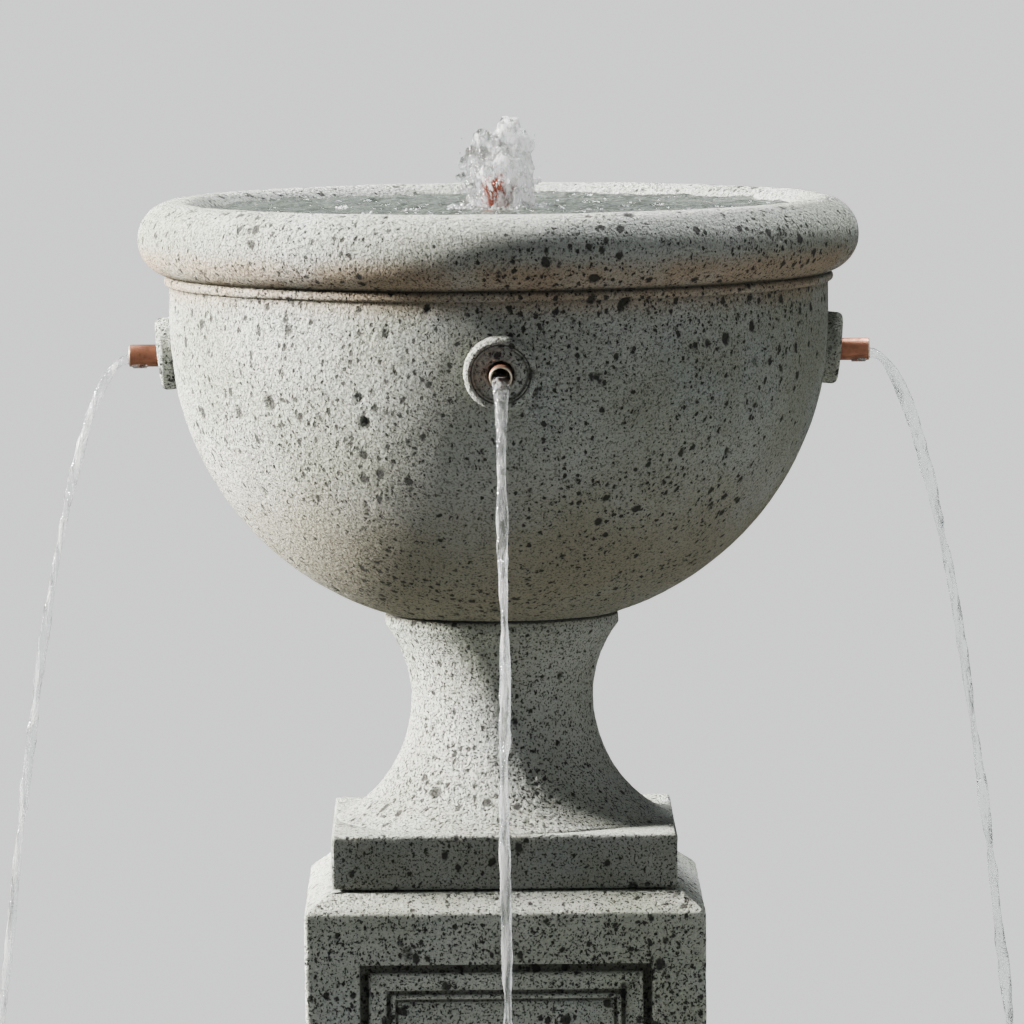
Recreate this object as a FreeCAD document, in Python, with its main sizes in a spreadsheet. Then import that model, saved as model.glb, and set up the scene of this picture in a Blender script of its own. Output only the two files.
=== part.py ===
import FreeCAD, Part
import os
import re

import Sketcher

# Garden fountain in cast stone: a round bowl with four copper spouts, on a square pedestal in a round pool.

# Driving sizes, in millimetres and degrees. Heights are above the ground unless the name says otherwise.
SIZES = {
    # pool
    "pool_foot_radius": 400,
    "pool_foot_height": 28,
    "pool_cove": 12,
    "pool_wall_radius": 480,
    "pool_belly_top": 178,
    "pool_belly_curve": 230,
    "pool_bead_bottom": 196,
    "pool_rim_centre": 477.5,
    "pool_rim_tube": 24,
    "pool_rim_level": 227,
    "pool_thickness": 30,
    "pool_floor": 45,
    "pool_floor_radius": 340,
    "pool_inside_curve": 200,
    "drain_place": 215,
    "drain_radius": 12.5,
    "drain_recess_radius": 20,
    "drain_recess_depth": 4,
    # pedestal
    "pedestal_height": 620,
    "pedestal_base_side": 312,
    "pedestal_base_height": 172,
    "pedestal_base_slope": 12,
    "pedestal_side": 280.6,
    "pedestal_top_side": 248,
    "pedestal_top_slope": 12.5,
    "pedestal_cavity_side": 196,
    "pedestal_top_thickness": 48,
    "pedestal_top_hole": 45,
    "notch_width": 70,
    "notch_height": 50,
    "panel_width": 204.5,
    "panel_height": 350,
    "panel_top_margin": 48.8,
    "panel_depth": 8,
    "panel_groove": 6,
    "panel_moulding": 13,
    "panel_moulding_rise": 5.5,
    "panel_inner_groove": 3,
    "panel_bead": 3,
    "panel_bead_rise": 4,
    "panel_field_rise": 2.5,
    # foot
    "pad_thickness": 1.5,
    "pad_radius": 12,
    "pad_place": 95,
    "plinth_side": 242.5,
    "plinth_height": 38.5,
    "foot_height": 183.3,
    "foot_band_height": 6.9,
    "foot_top_radius": 83,
    "waist_radius": 64.8,
    "waist_level": 123.8,
    "foot_flare_radius": 118.8,
    "foot_flare_curve": 94.4,
    "foot_neck_curve": 85.1,
    "foot_core_radius": 26,
    "gasket_thickness": 1.5,
    "gasket_inner_radius": 34,
    "gasket_outer_radius": 79,
    # bowl, with heights above its own underside
    "bowl_wall_radius": 233.7,
    "bowl_curve_level": 205,
    "bowl_curve": 214.8,
    "bowl_inside_curve": 183.5,
    "bowl_floor": 24,
    "bowl_floor_radius": 49.1,
    "bowl_bead_bottom": 233.6,
    "bowl_bead_top": 240.82,
    "bowl_rim_centre": 229,
    "bowl_rim_level": 267,
    "bowl_rim_tube": 26.6,
    "bowl_drain_radius": 14,
    # spouts
    "tube_radius": 7.95,
    "tube_bore": 6.35,
    "spout_level": 183.9,
    "spout_tip": 262.7,
    "spout_hole": 11,
    "seal_inner_end": 205,
    "seal_outer_end": 231,
    "rosette_radius": 25.6,
    "rosette_face": 244.2,
    "rosette_back": 228,
    "rosette_edge": 4,
    "rosette_lip": 5,
    "rosette_dish": 1.2,
    "rosette_hole": 10.2,
    "rosette_tilt": 5.6,
    "rosette_rise": 2,
    "rosette_joint": 0.3,
    "standpipe_place": 178,
    "standpipe_top": 285.2,
    "elbow_bend": 12,
    "elbow_socket": 9,
    "elbow_wall": 1.2,
    "solder_gap": 0.06,
    # feed through the bowl
    "nozzle_tip": 307.6,
    "nozzle_bead_drop": 30,
    "nozzle_bead": 1,
    "bulkhead_flange_radius": 24,
    "bulkhead_flange": 5,
    "bulkhead_shank": 13.2,
    "bulkhead_below": 18,
    "bulkhead_socket": 20,
    "bulkhead_bore": 6.4,
    "washer_thickness": 3,
    "washer_radius": 22,
    "locknut_corner": 21,
    "locknut_height": 9,
    # hose, clamps and valve
    "barb_spigot": 12,
    "barb_collar_radius": 13,
    "barb_collar_height": 6,
    "barb_tail": 26,
    "barb_radius": 7.2,
    "barb_root": 6.6,
    "hose_bore": 5,
    "hose_inner": 7.3,
    "hose_outer": 9.8,
    "clamp_width": 9,
    "clamp_thickness": 0.7,
    "valve_level": 380,
    "valve_body_radius": 17,
    "valve_half_length": 22,
    "valve_ball_radius": 10,
    "valve_chamber": 10.3,
    "valve_bore": 5,
    "seat_radius": 8.6,
    "seat_height": 3,
    "stem_radius": 3,
    "stem_boss_radius": 6.5,
    "stem_boss_end": 23,
    "stem_end": 30,
    "lever_length": 62,
    "lever_width": 11,
    "lever_thickness": 2.5,
    # pump, with heights above the pool floor
    "pump_axis": 44,
    "pump_width": 66,
    "pump_length": 70,
    "pump_body_height": 64,
    "pump_corner": 9,
    "pump_front": 5,
    "well_radius": 11.2,
    "well_depth": 52,
    "magnet_radius": 10.4,
    "magnet_length": 46,
    "magnet_bore": 1.58,
    "shaft_radius": 1.5,
    "shaft_length": 69,
    "impeller_radius": 14,
    "impeller_hub": 5.5,
    "impeller_width": 9,
    "impeller_blade": 1.8,
    "chamber_radius": 16.5,
    "chamber_wall": 3,
    "inlet_radius": 6.5,
    "outlet_radius": 8.5,
    "outlet_bore": 4,
    "outlet_shoulder": 50,
    "strainer_depth": 34,
    "strainer_lap": 6,
    "strainer_wall": 2.2,
    "strainer_gap": 0.2,
    "slot_width": 2.6,
    "slot_pitch": 6,
    "slot_length": 44,
    "slot_count": 9,
    "dial_radius": 11,
    "dial_thickness": 5,
    "dial_post": 3.2,
    "dial_forward": 12,
    "pump_foot_radius": 9,
    "pump_foot_height": 9,
    "gland_radius": 7,
    "gland_length": 10,
    "gland_bore": 3.6,
    "gland_drop": 16,
    "free_fit": 0.08,
}

UP = FreeCAD.Vector(0, 0, 1)
ACROSS = FreeCAD.Vector(0, 1, 0)
FORWARD = FreeCAD.Vector(1, 0, 0)
SIDES = [("right", 1, 0, 0), ("back", 0, 1, 90), ("left", -1, 0, 180), ("front", 0, -1, 270)]

doc = FreeCAD.newDocument("Fountain")
sheet = doc.addObject("Spreadsheet::Sheet", "Sizes")
for row, (alias, number) in enumerate(SIZES.items(), start=1):
    sheet.set(f"A{row}", alias)
    sheet.set(f"B{row}", str(number))
    sheet.setAlias(f"B{row}", alias)
doc.recompute()

nodes = []


def bound(text):
    """An expression that reads the sizes sheet, from one that names its cells alone."""
    return re.sub(r"\b([a-z]\w*)\b(?!\()", r"Sizes.\1", text)


def value(text):
    return float(sheet.evalExpression(bound(text)))


# Heights that several pieces share, as expressions of the sheet's cells.
PEDESTAL_TOP = "(pool_floor + pedestal_height)"
FOOT_BOTTOM = f"({PEDESTAL_TOP} + pad_thickness)"
FOOT_TOP = f"({FOOT_BOTTOM} + foot_height)"
BOWL_BOTTOM = f"({FOOT_TOP} + gasket_thickness)"
BULKHEAD_BOTTOM = f"({BOWL_BOTTOM} - bulkhead_below)"
PUMP_AXIS = "(pool_floor + pump_axis)"
OUTLET_SHOULDER = f"({PUMP_AXIS} + outlet_shoulder)"
LOWER_HOSE = f"({OUTLET_SHOULDER} + 1)"
VALVE_BOTTOM = "(valve_level - valve_half_length)"
VALVE_TOP = "(valve_level + valve_half_length)"
BARB_SHOULDER = f"({BULKHEAD_BOTTOM} - barb_collar_height)"


def place(piece, x="0", y="0", z="0", turn=None):
    """Puts a piece at a place given by expressions, turned by a fixed rotation."""
    if turn is not None:
        piece.Placement = FreeCAD.Placement(FreeCAD.Vector(), turn)
    for letter, text in zip("xyz", (x, y, z)):
        if text != "0":
            piece.setExpression(f"Placement.Base.{letter}", bound(text))
    return piece


def node(piece, label):
    """Records a finished piece as a sub-part with that name."""
    piece.Label = label
    nodes.append(piece)
    return piece


# ---- sketches and PartDesign features


def plane_of(body, role):
    return next(o for o in body.Origin.OriginFeatures if o.Role == role)


def edge_between(start, end, radius):
    """A straight edge, or an arc whose centre lies to the left of the way from start to end if radius is positive."""
    if radius == 0:
        return Part.LineSegment(start, end)
    chord = end - start
    left = FreeCAD.Vector(-chord.y, chord.x, 0).normalize()
    rise = max(radius**2 - (chord.Length / 2) ** 2, 0) ** 0.5
    centre = (start + end) / 2 + left * (rise if radius > 0 else -rise)
    first, last = (start, end) if radius > 0 else (end, start)
    circle = Part.Circle(centre, UP, abs(radius))
    return Part.ArcOfCircle(circle, circle.parameter(first), circle.parameter(last))


def outline(sketch, corners):
    """Adds one closed loop. Each corner is (across, up) or (across, up, radius of the arc that arrives there)."""
    base = sketch.GeometryCount
    points = [FreeCAD.Vector(value(c[0]), value(c[1]), 0) for c in corners]
    radii = [0 if len(c) == 2 else value(c[2]) for c in corners]
    count = len(corners)
    for i in range(count):
        sketch.addGeometry(edge_between(points[i - 1], points[i], radii[i]))
    for i, corner in enumerate(corners):
        arriving, leaving = base + i, base + (i + 1) % count
        arrives_at = 1 if radii[i] < 0 else 2
        leaves_from = 2 if radii[(i + 1) % count] < 0 else 1
        sketch.addConstraint(Sketcher.Constraint("Coincident", arriving, arrives_at, leaving, leaves_from))
        for kind, text, axis in (("DistanceX", corner[0], -2), ("DistanceY", corner[1], -1)):
            if text == "0":
                sketch.addConstraint(Sketcher.Constraint("PointOnObject", arriving, arrives_at, axis))
                continue
            number = Sketcher.Constraint(kind, -1, 1, arriving, arrives_at, value(text))
            index = sketch.addConstraint(number)
            sketch.setExpression(f"Constraints[{index}]", bound(text))
        if radii[i] != 0:
            index = sketch.addConstraint(Sketcher.Constraint("Radius", arriving, abs(radii[i])))
            sketch.setExpression(f"Constraints[{index}]", bound(f"abs({corner[2]})"))


def rectangle(width, bottom, top):
    """Corners of a rectangle centred across, between two heights."""
    half = f"({width}) / 2"
    return [(f"-{half}", bottom), (half, bottom), (half, top), (f"-{half}", top)]


def square(side):
    return rectangle(side, f"-({side}) / 2", f"({side}) / 2")


def new_sketch(body, name, role, loops, offset="0"):
    """A sketch on one of the body's own planes, moved along that plane's normal by offset."""
    sketch = body.newObject("Sketcher::SketchObject", name)
    sketch.AttachmentSupport = [(plane_of(body, role), "")]
    sketch.MapMode = "FlatFace"
    if offset != "0":
        sketch.setExpression("AttachmentOffset.Base.z", bound(offset))
    for loop in loops:
        outline(sketch, loop)
    return sketch


def turned_feature(body, name, corners, kind="Revolution"):
    """Turns a half section, drawn as (radius, height), about the body's upright axis."""
    sketch = new_sketch(body, name + "_section", "XZ_Plane", [corners])
    turn = body.newObject(f"PartDesign::{kind}", name)
    turn.Profile = sketch
    turn.ReferenceAxis = (sketch, ["V_Axis"])
    turn.Angle = 360
    return turn


def turned(label, corners):
    """A piece made in one turning."""
    body = doc.addObject("PartDesign::Body", label)
    turned_feature(body, label + "_turn", corners)
    return node(body, label)


def ring(label, inner, outer, bottom, top):
    """A plain tube or washer."""
    return turned(label, [(inner, bottom), (outer, bottom), (outer, top), (inner, top)])


def pad(body, name, loops, length, role="XY_Plane", offset="0", taper=None, kind="Pad", back=False):
    """A Pad or Pocket of a sketch of loops."""
    sketch = new_sketch(body, name + "_sketch", role, loops, offset)
    feature = body.newObject(f"PartDesign::{kind}", name)
    feature.Profile = sketch
    feature.setExpression("Length", bound(length))
    feature.Reversed = back
    if taper is not None:
        feature.setExpression("TaperAngle", bound(taper))
    return feature


def circle_pocket(body, name, radius, length, role="XY_Plane", offset="0", at=("0", "0"), back=False):
    """A round pocket."""
    sketch = new_sketch(body, name + "_sketch", role, [], offset)
    centre = FreeCAD.Vector(value(at[0]), value(at[1]), 0)
    sketch.addGeometry(Part.Circle(centre, UP, value(radius)))
    index = sketch.addConstraint(Sketcher.Constraint("Radius", 0, value(radius)))
    sketch.setExpression(f"Constraints[{index}]", bound(radius))
    for kind, text, axis in (("DistanceX", at[0], -2), ("DistanceY", at[1], -1)):
        if text == "0":
            sketch.addConstraint(Sketcher.Constraint("PointOnObject", 0, 3, axis))
        else:
            index = sketch.addConstraint(Sketcher.Constraint(kind, -1, 1, 0, 3, value(text)))
            sketch.setExpression(f"Constraints[{index}]", bound(text))
    feature = body.newObject("PartDesign::Pocket", name)
    feature.Profile = sketch
    feature.setExpression("Length", bound(length))
    feature.Reversed = back
    return feature


def around(body, name, features, count=4):
    """Repeats features about the body's upright axis."""
    pattern = body.newObject("PartDesign::PolarPattern", name)
    pattern.Originals = features
    pattern.Axis = (plane_of(body, "Z_Axis"), [""])
    pattern.Angle = 360
    pattern.Occurrences = count
    body.Tip = pattern
    return pattern


# ---- Part primitives


def primitive(kind, name, at=("0", "0", "0"), turn=None, **sizes):
    piece = doc.addObject(f"Part::{kind}", name)
    for size, text in sizes.items():
        piece.setExpression(size, bound(text))
    return place(piece, *at, turn)


def fuse(name, pieces):
    joined = doc.addObject("Part::MultiFuse", name)
    joined.Shapes = pieces
    return joined


def cut(name, base, tool):
    result = doc.addObject("Part::Cut", name)
    result.Base = base
    result.Tool = tool
    return result


def group(name, pieces):
    whole = doc.addObject("Part::Compound", name)
    whole.Links = pieces
    return whole


def outward(angle):
    """Turns a piece's upright axis to point outward at an angle about the fountain's axis."""
    return FreeCAD.Rotation(UP, angle) * FreeCAD.Rotation(ACROSS, 90)


LYING = FreeCAD.Rotation(FORWARD, 90)  # upright axis turned to point forward, along -Y


# ---- cast stone


def bead(radius, bottom, top):
    """The two quarter arcs of a half-round bead on a wall."""
    half = f"(({top}) - ({bottom})) / 2"
    middle = f"(({top}) + ({bottom})) / 2"
    return [(f"{radius} + {half}", middle, half), (radius, top, half)]


def rim(centre, tube, level):
    """Three quarters of a rolled rim, from its outer side over the top to its inner side."""
    return [
        (f"{centre} + {tube}", level, tube),
        (centre, f"{level} + {tube}", tube),
        (f"{centre} - {tube}", level, tube),
    ]


def make_pool():
    joint = "pool_wall_radius - pool_rim_centre"
    bead_top = f"pool_rim_level - sqrt(pow(pool_rim_tube; 2) - pow({joint}; 2))"
    body = turned(
        "pool",
        [
            ("0", "0"),
            ("pool_foot_radius", "0"),
            ("pool_foot_radius", "pool_foot_height"),
            ("pool_foot_radius - pool_cove", "pool_foot_height + pool_cove", "-pool_cove"),
            ("pool_wall_radius", "pool_belly_top", "pool_belly_curve"),
            ("pool_wall_radius", "pool_bead_bottom"),
            *bead("pool_wall_radius", "pool_bead_bottom", bead_top),
            *rim("pool_rim_centre", "pool_rim_tube", "pool_rim_level"),
            ("pool_wall_radius - pool_thickness", "pool_belly_top"),
            ("pool_floor_radius", "pool_floor", "-pool_inside_curve"),
            ("0", "pool_floor"),
        ],
    )
    place_of_drain = ("drain_place", "drain_place")
    circle_pocket(body, "pool_drain", "drain_radius + free_fit", "pool_floor", offset="pool_floor", at=place_of_drain)
    circle_pocket(
        body, "pool_drain_recess", "drain_recess_radius", "drain_recess_depth", offset="pool_floor", at=place_of_drain
    )


def make_drain_stopper():
    """Rubber stopper with a pull ring, in the pool's floor."""
    head = "pool_floor - drain_recess_depth"
    plug = primitive("Cylinder", "stopper_plug", Radius="drain_radius", Height=f"{head} - 6", at=("0", "0", "6"))
    top = primitive("Cylinder", "stopper_head", Radius="drain_recess_radius - 2", Height="4", at=("0", "0", head))
    loop = primitive(
        "Torus", "stopper_loop", Radius1="8", Radius2="1.6", at=("0", "0", f"{head} + 11"),
        turn=FreeCAD.Rotation(FORWARD, 90),
    )
    stopper = fuse("stopper", [plug, top, loop])
    node(place(stopper, "drain_place", "drain_place"), "drain_stopper")


def make_pedestal():
    body = doc.addObject("PartDesign::Body", "pedestal")
    slope_base = "pedestal_base_height + pedestal_base_slope"
    shaft_top = "pedestal_height - pedestal_top_slope"
    pad(body, "base_block", [square("pedestal_base_side")], "pedestal_base_height")
    pad(
        body, "base_slope", [square("pedestal_base_side")], "pedestal_base_slope", offset="pedestal_base_height",
        taper="-atan((pedestal_base_side - pedestal_side) / 2 / pedestal_base_slope)",
    )
    pad(body, "shaft", [square("pedestal_side")], f"{shaft_top} - ({slope_base})", offset=slope_base)
    pad(
        body, "top_slope", [square("pedestal_side")], "pedestal_top_slope", offset=shaft_top,
        taper="-atan((pedestal_side - pedestal_top_side) / 2 / pedestal_top_slope)",
    )
    pad(
        body, "cavity", [square("pedestal_cavity_side")], "pedestal_height - pedestal_top_thickness",
        kind="Pocket", back=True,
    )
    circle_pocket(body, "top_hole", "pedestal_top_hole", "pedestal_height", back=True)

    panel_top = "pedestal_height - panel_top_margin"
    panel_bottom = f"{panel_top} - panel_height"

    def inset(margin):
        return rectangle(f"panel_width - 2 * ({margin})", f"{panel_bottom} + {margin}", f"{panel_top} - ({margin})")

    face = "pedestal_side / 2"
    recess_floor = "pedestal_side / 2 - panel_depth"
    moulding_in = "(panel_groove + panel_moulding)"
    bead_out = f"({moulding_in} + panel_inner_groove)"
    bead_in = f"({bead_out} + panel_bead)"
    features = [
        pad(body, "panel_recess", [inset("0")], "panel_depth", "XZ_Plane", face, kind="Pocket"),
        pad(
            body, "panel_frame", [inset("panel_groove"), inset(moulding_in)], "panel_moulding_rise",
            "XZ_Plane", recess_floor,
        ),
        pad(body, "panel_bead_frame", [inset(bead_out), inset(bead_in)], "panel_bead_rise", "XZ_Plane", recess_floor),
        pad(body, "panel_field", [inset(bead_in)], "panel_field_rise", "XZ_Plane", recess_floor),
    ]
    half = "notch_width / 2"
    notch = [
        (f"-{half}", "0"),
        (half, "0"),
        (half, "notch_height - notch_width / 2"),
        ("0", "notch_height", half),
        (f"-{half}", "notch_height - notch_width / 2", half),
    ]
    wall = "(pedestal_base_side - pedestal_cavity_side) / 2"
    features.append(
        pad(body, "water_notch", [notch], f"{wall} + 5", "XZ_Plane", "pedestal_base_side / 2", kind="Pocket")
    )
    around(body, "panels_and_notches", features)
    node(place(body, z="pool_floor"), "pedestal")


def make_foot():
    """Waisted foot on a square plinth, with a core for the feed."""
    body = doc.addObject("PartDesign::Body", "foot")
    pad(body, "plinth", [square("plinth_side")], "plinth_height")
    band = "foot_height - foot_band_height"
    turned_feature(
        body,
        "neck",
        [
            ("0", "plinth_height - 5"),
            ("foot_flare_radius", "plinth_height - 5"),
            ("foot_flare_radius", "plinth_height"),
            ("waist_radius", "waist_level", "-foot_flare_curve"),
            ("foot_top_radius", band, "-foot_neck_curve"),
            ("foot_top_radius", "foot_height"),
            ("0", "foot_height"),
        ],
    )
    circle_pocket(body, "core", "foot_core_radius", "foot_height", back=True)
    node(place(body, z=FOOT_BOTTOM), "foot")


def make_bowl():
    body = turned(
        "bowl",
        [
            ("bowl_drain_radius", "0"),
            ("foot_top_radius", "0"),
            ("bowl_wall_radius", "bowl_curve_level", "bowl_curve"),
            ("bowl_wall_radius", "bowl_bead_bottom"),
            *bead("bowl_wall_radius", "bowl_bead_bottom", "bowl_bead_top"),
            *rim("bowl_rim_centre", "bowl_rim_tube", "bowl_rim_level"),
            ("bowl_rim_centre - bowl_rim_tube", "bowl_curve_level"),
            ("bowl_floor_radius", "bowl_floor", "-bowl_inside_curve"),
            ("bowl_drain_radius", "bowl_floor"),
        ],
    )
    wall_start = "bowl_wall_radius + 5"
    hole = circle_pocket(
        body, "spout_hole", "spout_hole", "bowl_wall_radius / 3", "YZ_Plane", wall_start, ("0", "spout_level")
    )
    around(body, "spout_holes", [hole])
    place(body, z=BOWL_BOTTOM)


def make_bedding():
    """Rubber pads under the plinth, and the ring that the bowl beds on."""
    pads = [
        primitive(
            "Cylinder", f"pad_{x}_{y}".replace("-", "m"), Radius="pad_radius", Height="pad_thickness",
            at=(f"{x} * pad_place", f"{y} * pad_place", PEDESTAL_TOP),
        )
        for x in (-1, 1)
        for y in (-1, 1)
    ]
    node(group("pads", pads), "plinth_pads")
    place(ring("bowl_gasket", "gasket_inner_radius", "gasket_outer_radius", "0", "gasket_thickness"), z=FOOT_TOP)


# ---- spouts, one set at each side


def make_rosette(side, x, y, angle):
    """Cast-stone rosette, square to the wall and hollowed at the back to fit it."""
    depth = "(rosette_face - rosette_back)"
    disc = doc.addObject("PartDesign::Body", f"rosette_disc_{side}")
    turned_feature(
        disc,
        f"rosette_turn_{side}",
        [
            ("rosette_hole", "0"),
            ("rosette_radius", "0"),
            ("rosette_radius", f"{depth} - rosette_edge"),
            ("rosette_radius - rosette_edge", depth, "rosette_edge"),
            ("rosette_radius - rosette_lip", depth),
            ("rosette_radius - rosette_lip - rosette_dish", f"{depth} - rosette_dish"),
            ("rosette_hole", f"{depth} - rosette_dish"),
        ],
    )
    tilt = FreeCAD.Rotation(UP, angle) * FreeCAD.Rotation(ACROSS, 90 + value("rosette_tilt"))
    place(disc, f"{x} * rosette_back", f"{y} * rosette_back", f"{BOWL_BOTTOM} + spout_level + rosette_rise", turn=tilt)
    wall = doc.addObject("PartDesign::Body", f"rosette_wall_{side}")
    turned_feature(
        wall,
        f"rosette_wall_turn_{side}",
        [
            ("0", "0"),
            ("foot_top_radius + rosette_joint", "0"),
            ("bowl_wall_radius + rosette_joint", "bowl_curve_level", "bowl_curve"),
            ("bowl_wall_radius + rosette_joint", "bowl_bead_bottom"),
            ("0", "bowl_bead_bottom"),
        ],
    )
    place(wall, z=BOWL_BOTTOM)
    node(cut(f"rosette_{side}_cut", disc, wall), f"rosette_{side}")


def make_elbow(side, x, y, angle):
    """Copper elbow from the spout tube up to the standpipe, with a socket at each end."""
    outer = "(tube_radius + solder_gap + elbow_wall)"
    inner = "(tube_radius + solder_gap)"
    quarter = {"Radius1": "elbow_bend"}
    mouth = ("elbow_bend", "0", "0")  # the upright socket's axis, from the bend's centre
    upright = dict(at=mouth, turn=FreeCAD.Rotation())
    bend = FreeCAD.Rotation(FORWARD, -90)

    def shell(radius, name, extra):
        curve = primitive("Torus", f"{name}_bend_{side}", turn=bend, Radius2=radius, **quarter)
        curve.Angle3 = 90
        riser = primitive("Cylinder", f"{name}_up_{side}", Radius=radius, Height=f"elbow_socket + {extra}", **upright)
        runner = primitive(
            "Cylinder", f"{name}_along_{side}", Radius=radius, Height=f"elbow_socket + {extra}",
            at=("0", "0", "-elbow_bend"), turn=FreeCAD.Rotation(ACROSS, -90),
        )
        return fuse(f"{name}_{side}", [curve, riser, runner])

    bored = cut(f"elbow_bored_{side}", shell(outer, "elbow_skin", "0"), shell("tube_bore", "elbow_way", "1"))
    sockets = fuse(
        f"elbow_sockets_{side}",
        [
            primitive("Cylinder", f"socket_up_{side}", Radius=inner, Height="elbow_socket + 1",
                      at=("elbow_bend", "0", "1")),
            primitive("Cylinder", f"socket_along_{side}", Radius=inner, Height="elbow_socket + 1",
                      at=("-1", "0", "-elbow_bend"), turn=FreeCAD.Rotation(ACROSS, -90)),
        ],
    )
    piece = cut(f"elbow_{side}_cut", bored, sockets)
    reach = "(standpipe_place + elbow_bend)"
    place(
        piece, f"{x} * {reach}", f"{y} * {reach}", f"{BOWL_BOTTOM} + spout_level + elbow_bend",
        turn=FreeCAD.Rotation(UP, angle + 180),
    )
    node(piece, f"spout_elbow_{side}")


def make_spout(side, x, y, angle):
    level = f"{BOWL_BOTTOM} + spout_level"
    turn = outward(angle)
    reach = "standpipe_place + elbow_bend + 1"
    for label, inner, outer, start, end in (
        ("spout_tube", "tube_bore", "tube_radius", reach, "spout_tip"),
        ("spout_seal", "tube_radius", "spout_hole", "seal_inner_end", "seal_outer_end"),
    ):
        tube = ring(f"{label}_{side}", inner, outer, "0", f"{end} - ({start})")
        place(tube, f"{x} * ({start})", f"{y} * ({start})", level, turn=turn)
    foot = "spout_level + elbow_bend + 1"
    pipe = ring(f"standpipe_{side}", "tube_bore", "tube_radius", "0", f"standpipe_top - ({foot})")
    place(pipe, f"{x} * standpipe_place", f"{y} * standpipe_place", f"{BOWL_BOTTOM} + {foot}")
    make_elbow(side, x, y, angle)
    make_rosette(side, x, y, angle)


# ---- feed: bulkhead, nozzle, hoses and valve


def make_bulkhead():
    """Brass fitting through the bowl's floor, its washers and its locknut."""
    flange_bottom = "(bowl_floor + washer_thickness)"
    flange_top = f"({flange_bottom} + bulkhead_flange)"
    socket = "(tube_radius + solder_gap)"
    fitting = turned(
        "bulkhead",
        [
            (socket, "-bulkhead_below"),
            ("bulkhead_shank", "-bulkhead_below"),
            ("bulkhead_shank", flange_bottom),
            ("bulkhead_flange_radius", flange_bottom),
            ("bulkhead_flange_radius", f"{flange_top} - 2"),
            ("bulkhead_flange_radius - 2", flange_top),
            (socket, flange_top),
            (socket, f"{flange_top} - bulkhead_socket"),
            ("bulkhead_bore", f"{flange_top} - bulkhead_socket"),
            ("bulkhead_bore", "barb_spigot - bulkhead_below + 1"),
            (socket, "barb_spigot - bulkhead_below + 1"),
        ],
    )
    place(fitting, z=BOWL_BOTTOM)
    upper = ring("bulkhead_washer_upper", "bulkhead_shank", "washer_radius", "0", "washer_thickness")
    place(upper, z=f"{BOWL_BOTTOM} + bowl_floor")
    lower = ring("bulkhead_washer_lower", "bulkhead_shank", "washer_radius", "0", "washer_thickness")
    place(lower, z=f"{BOWL_BOTTOM} - washer_thickness")
    hexagon = primitive("Prism", "locknut_hexagon", Circumradius="locknut_corner", Height="locknut_height")
    thread = primitive("Cylinder", "locknut_thread", Radius="bulkhead_shank", Height="locknut_height")
    nut = cut("locknut_cut", hexagon, thread)
    node(place(nut, z=f"{BOWL_BOTTOM} - washer_thickness - locknut_height"), "bulkhead_locknut")
    riser_foot = f"{BOWL_BOTTOM} + {flange_top} - bulkhead_socket"
    riser_length = f"nozzle_tip - ({flange_top}) + bulkhead_socket"
    bead_level = f"{riser_length} - nozzle_bead_drop"
    riser = turned(
        "nozzle_riser",
        [
            ("tube_bore", "0"),
            ("tube_radius", "0"),
            ("tube_radius", f"{bead_level} - 2 * nozzle_bead"),
            ("tube_radius + nozzle_bead", f"{bead_level} - nozzle_bead"),
            ("tube_radius", bead_level),
            ("tube_radius", riser_length),
            ("tube_bore", riser_length),
        ],
    )
    place(riser, z=riser_foot)


def barbed_end(start, step):
    """Three barbs, from the shoulder at height start outwards. Step is the pitch, negative when they run downwards."""
    corners = []
    for barb in range(3):
        corners.append(("barb_root", f"{start} + {barb + 0.3} * ({step})"))
        corners.append(("barb_radius", f"{start} + {barb + 0.5} * ({step})"))
        corners.append(("barb_root", f"{start} + {barb + 1} * ({step})"))
    return corners


def make_hose_barb():
    """Barbed tail screwed into the bulkhead, barbs downwards."""
    pitch = "barb_tail / 3"
    tail = barbed_end("0", f"-{pitch}")
    fitting = turned(
        "hose_barb",
        [
            ("hose_bore", "-barb_tail"),
            *reversed(tail),
            ("barb_root", "0"),
            ("barb_collar_radius", "0"),
            ("barb_collar_radius", "barb_collar_height"),
            ("tube_radius", "barb_collar_height"),
            ("tube_radius", "barb_collar_height + barb_spigot"),
            ("hose_bore", "barb_collar_height + barb_spigot"),
        ],
    )
    place(fitting, z=BARB_SHOULDER)


def make_clamp(label, level):
    """Worm-drive clamp: band with its housing, and the screw."""
    band_outer = "(hose_outer + clamp_thickness)"
    band = primitive("Cylinder", f"{label}_band", Radius=band_outer, Height="clamp_width")
    housing = primitive(
        "Box", f"{label}_housing", Length="7", Width="12", Height="clamp_width", at=(f"{band_outer} - 1", "-6", "0")
    )
    way = primitive("Cylinder", f"{label}_hose", Radius="hose_outer", Height="clamp_width")
    screw_way = primitive(
        "Cylinder", f"{label}_screw_way", Radius="2.3", Height="14",
        at=(f"{band_outer} + 2.6", "7", "clamp_width / 2"), turn=FreeCAD.Rotation(FORWARD, 90),
    )
    shell = cut(f"{label}_shell", fuse(f"{label}_solid", [band, housing]), fuse(f"{label}_ways", [way, screw_way]))
    shank = primitive(
        "Cylinder", f"{label}_shank", Radius="2.2", Height="14",
        at=(f"{band_outer} + 2.6", "6.5", "clamp_width / 2"), turn=FreeCAD.Rotation(FORWARD, 90),
    )
    head = primitive(
        "Prism", f"{label}_head", Circumradius="3.4", Height="3",
        at=(f"{band_outer} + 2.6", "-6.2", "clamp_width / 2"), turn=FreeCAD.Rotation(FORWARD, 90),
    )
    clamp = group(f"{label}_all", [shell, fuse(f"{label}_screw", [shank, head])])
    node(place(clamp, z=level), label)


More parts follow.
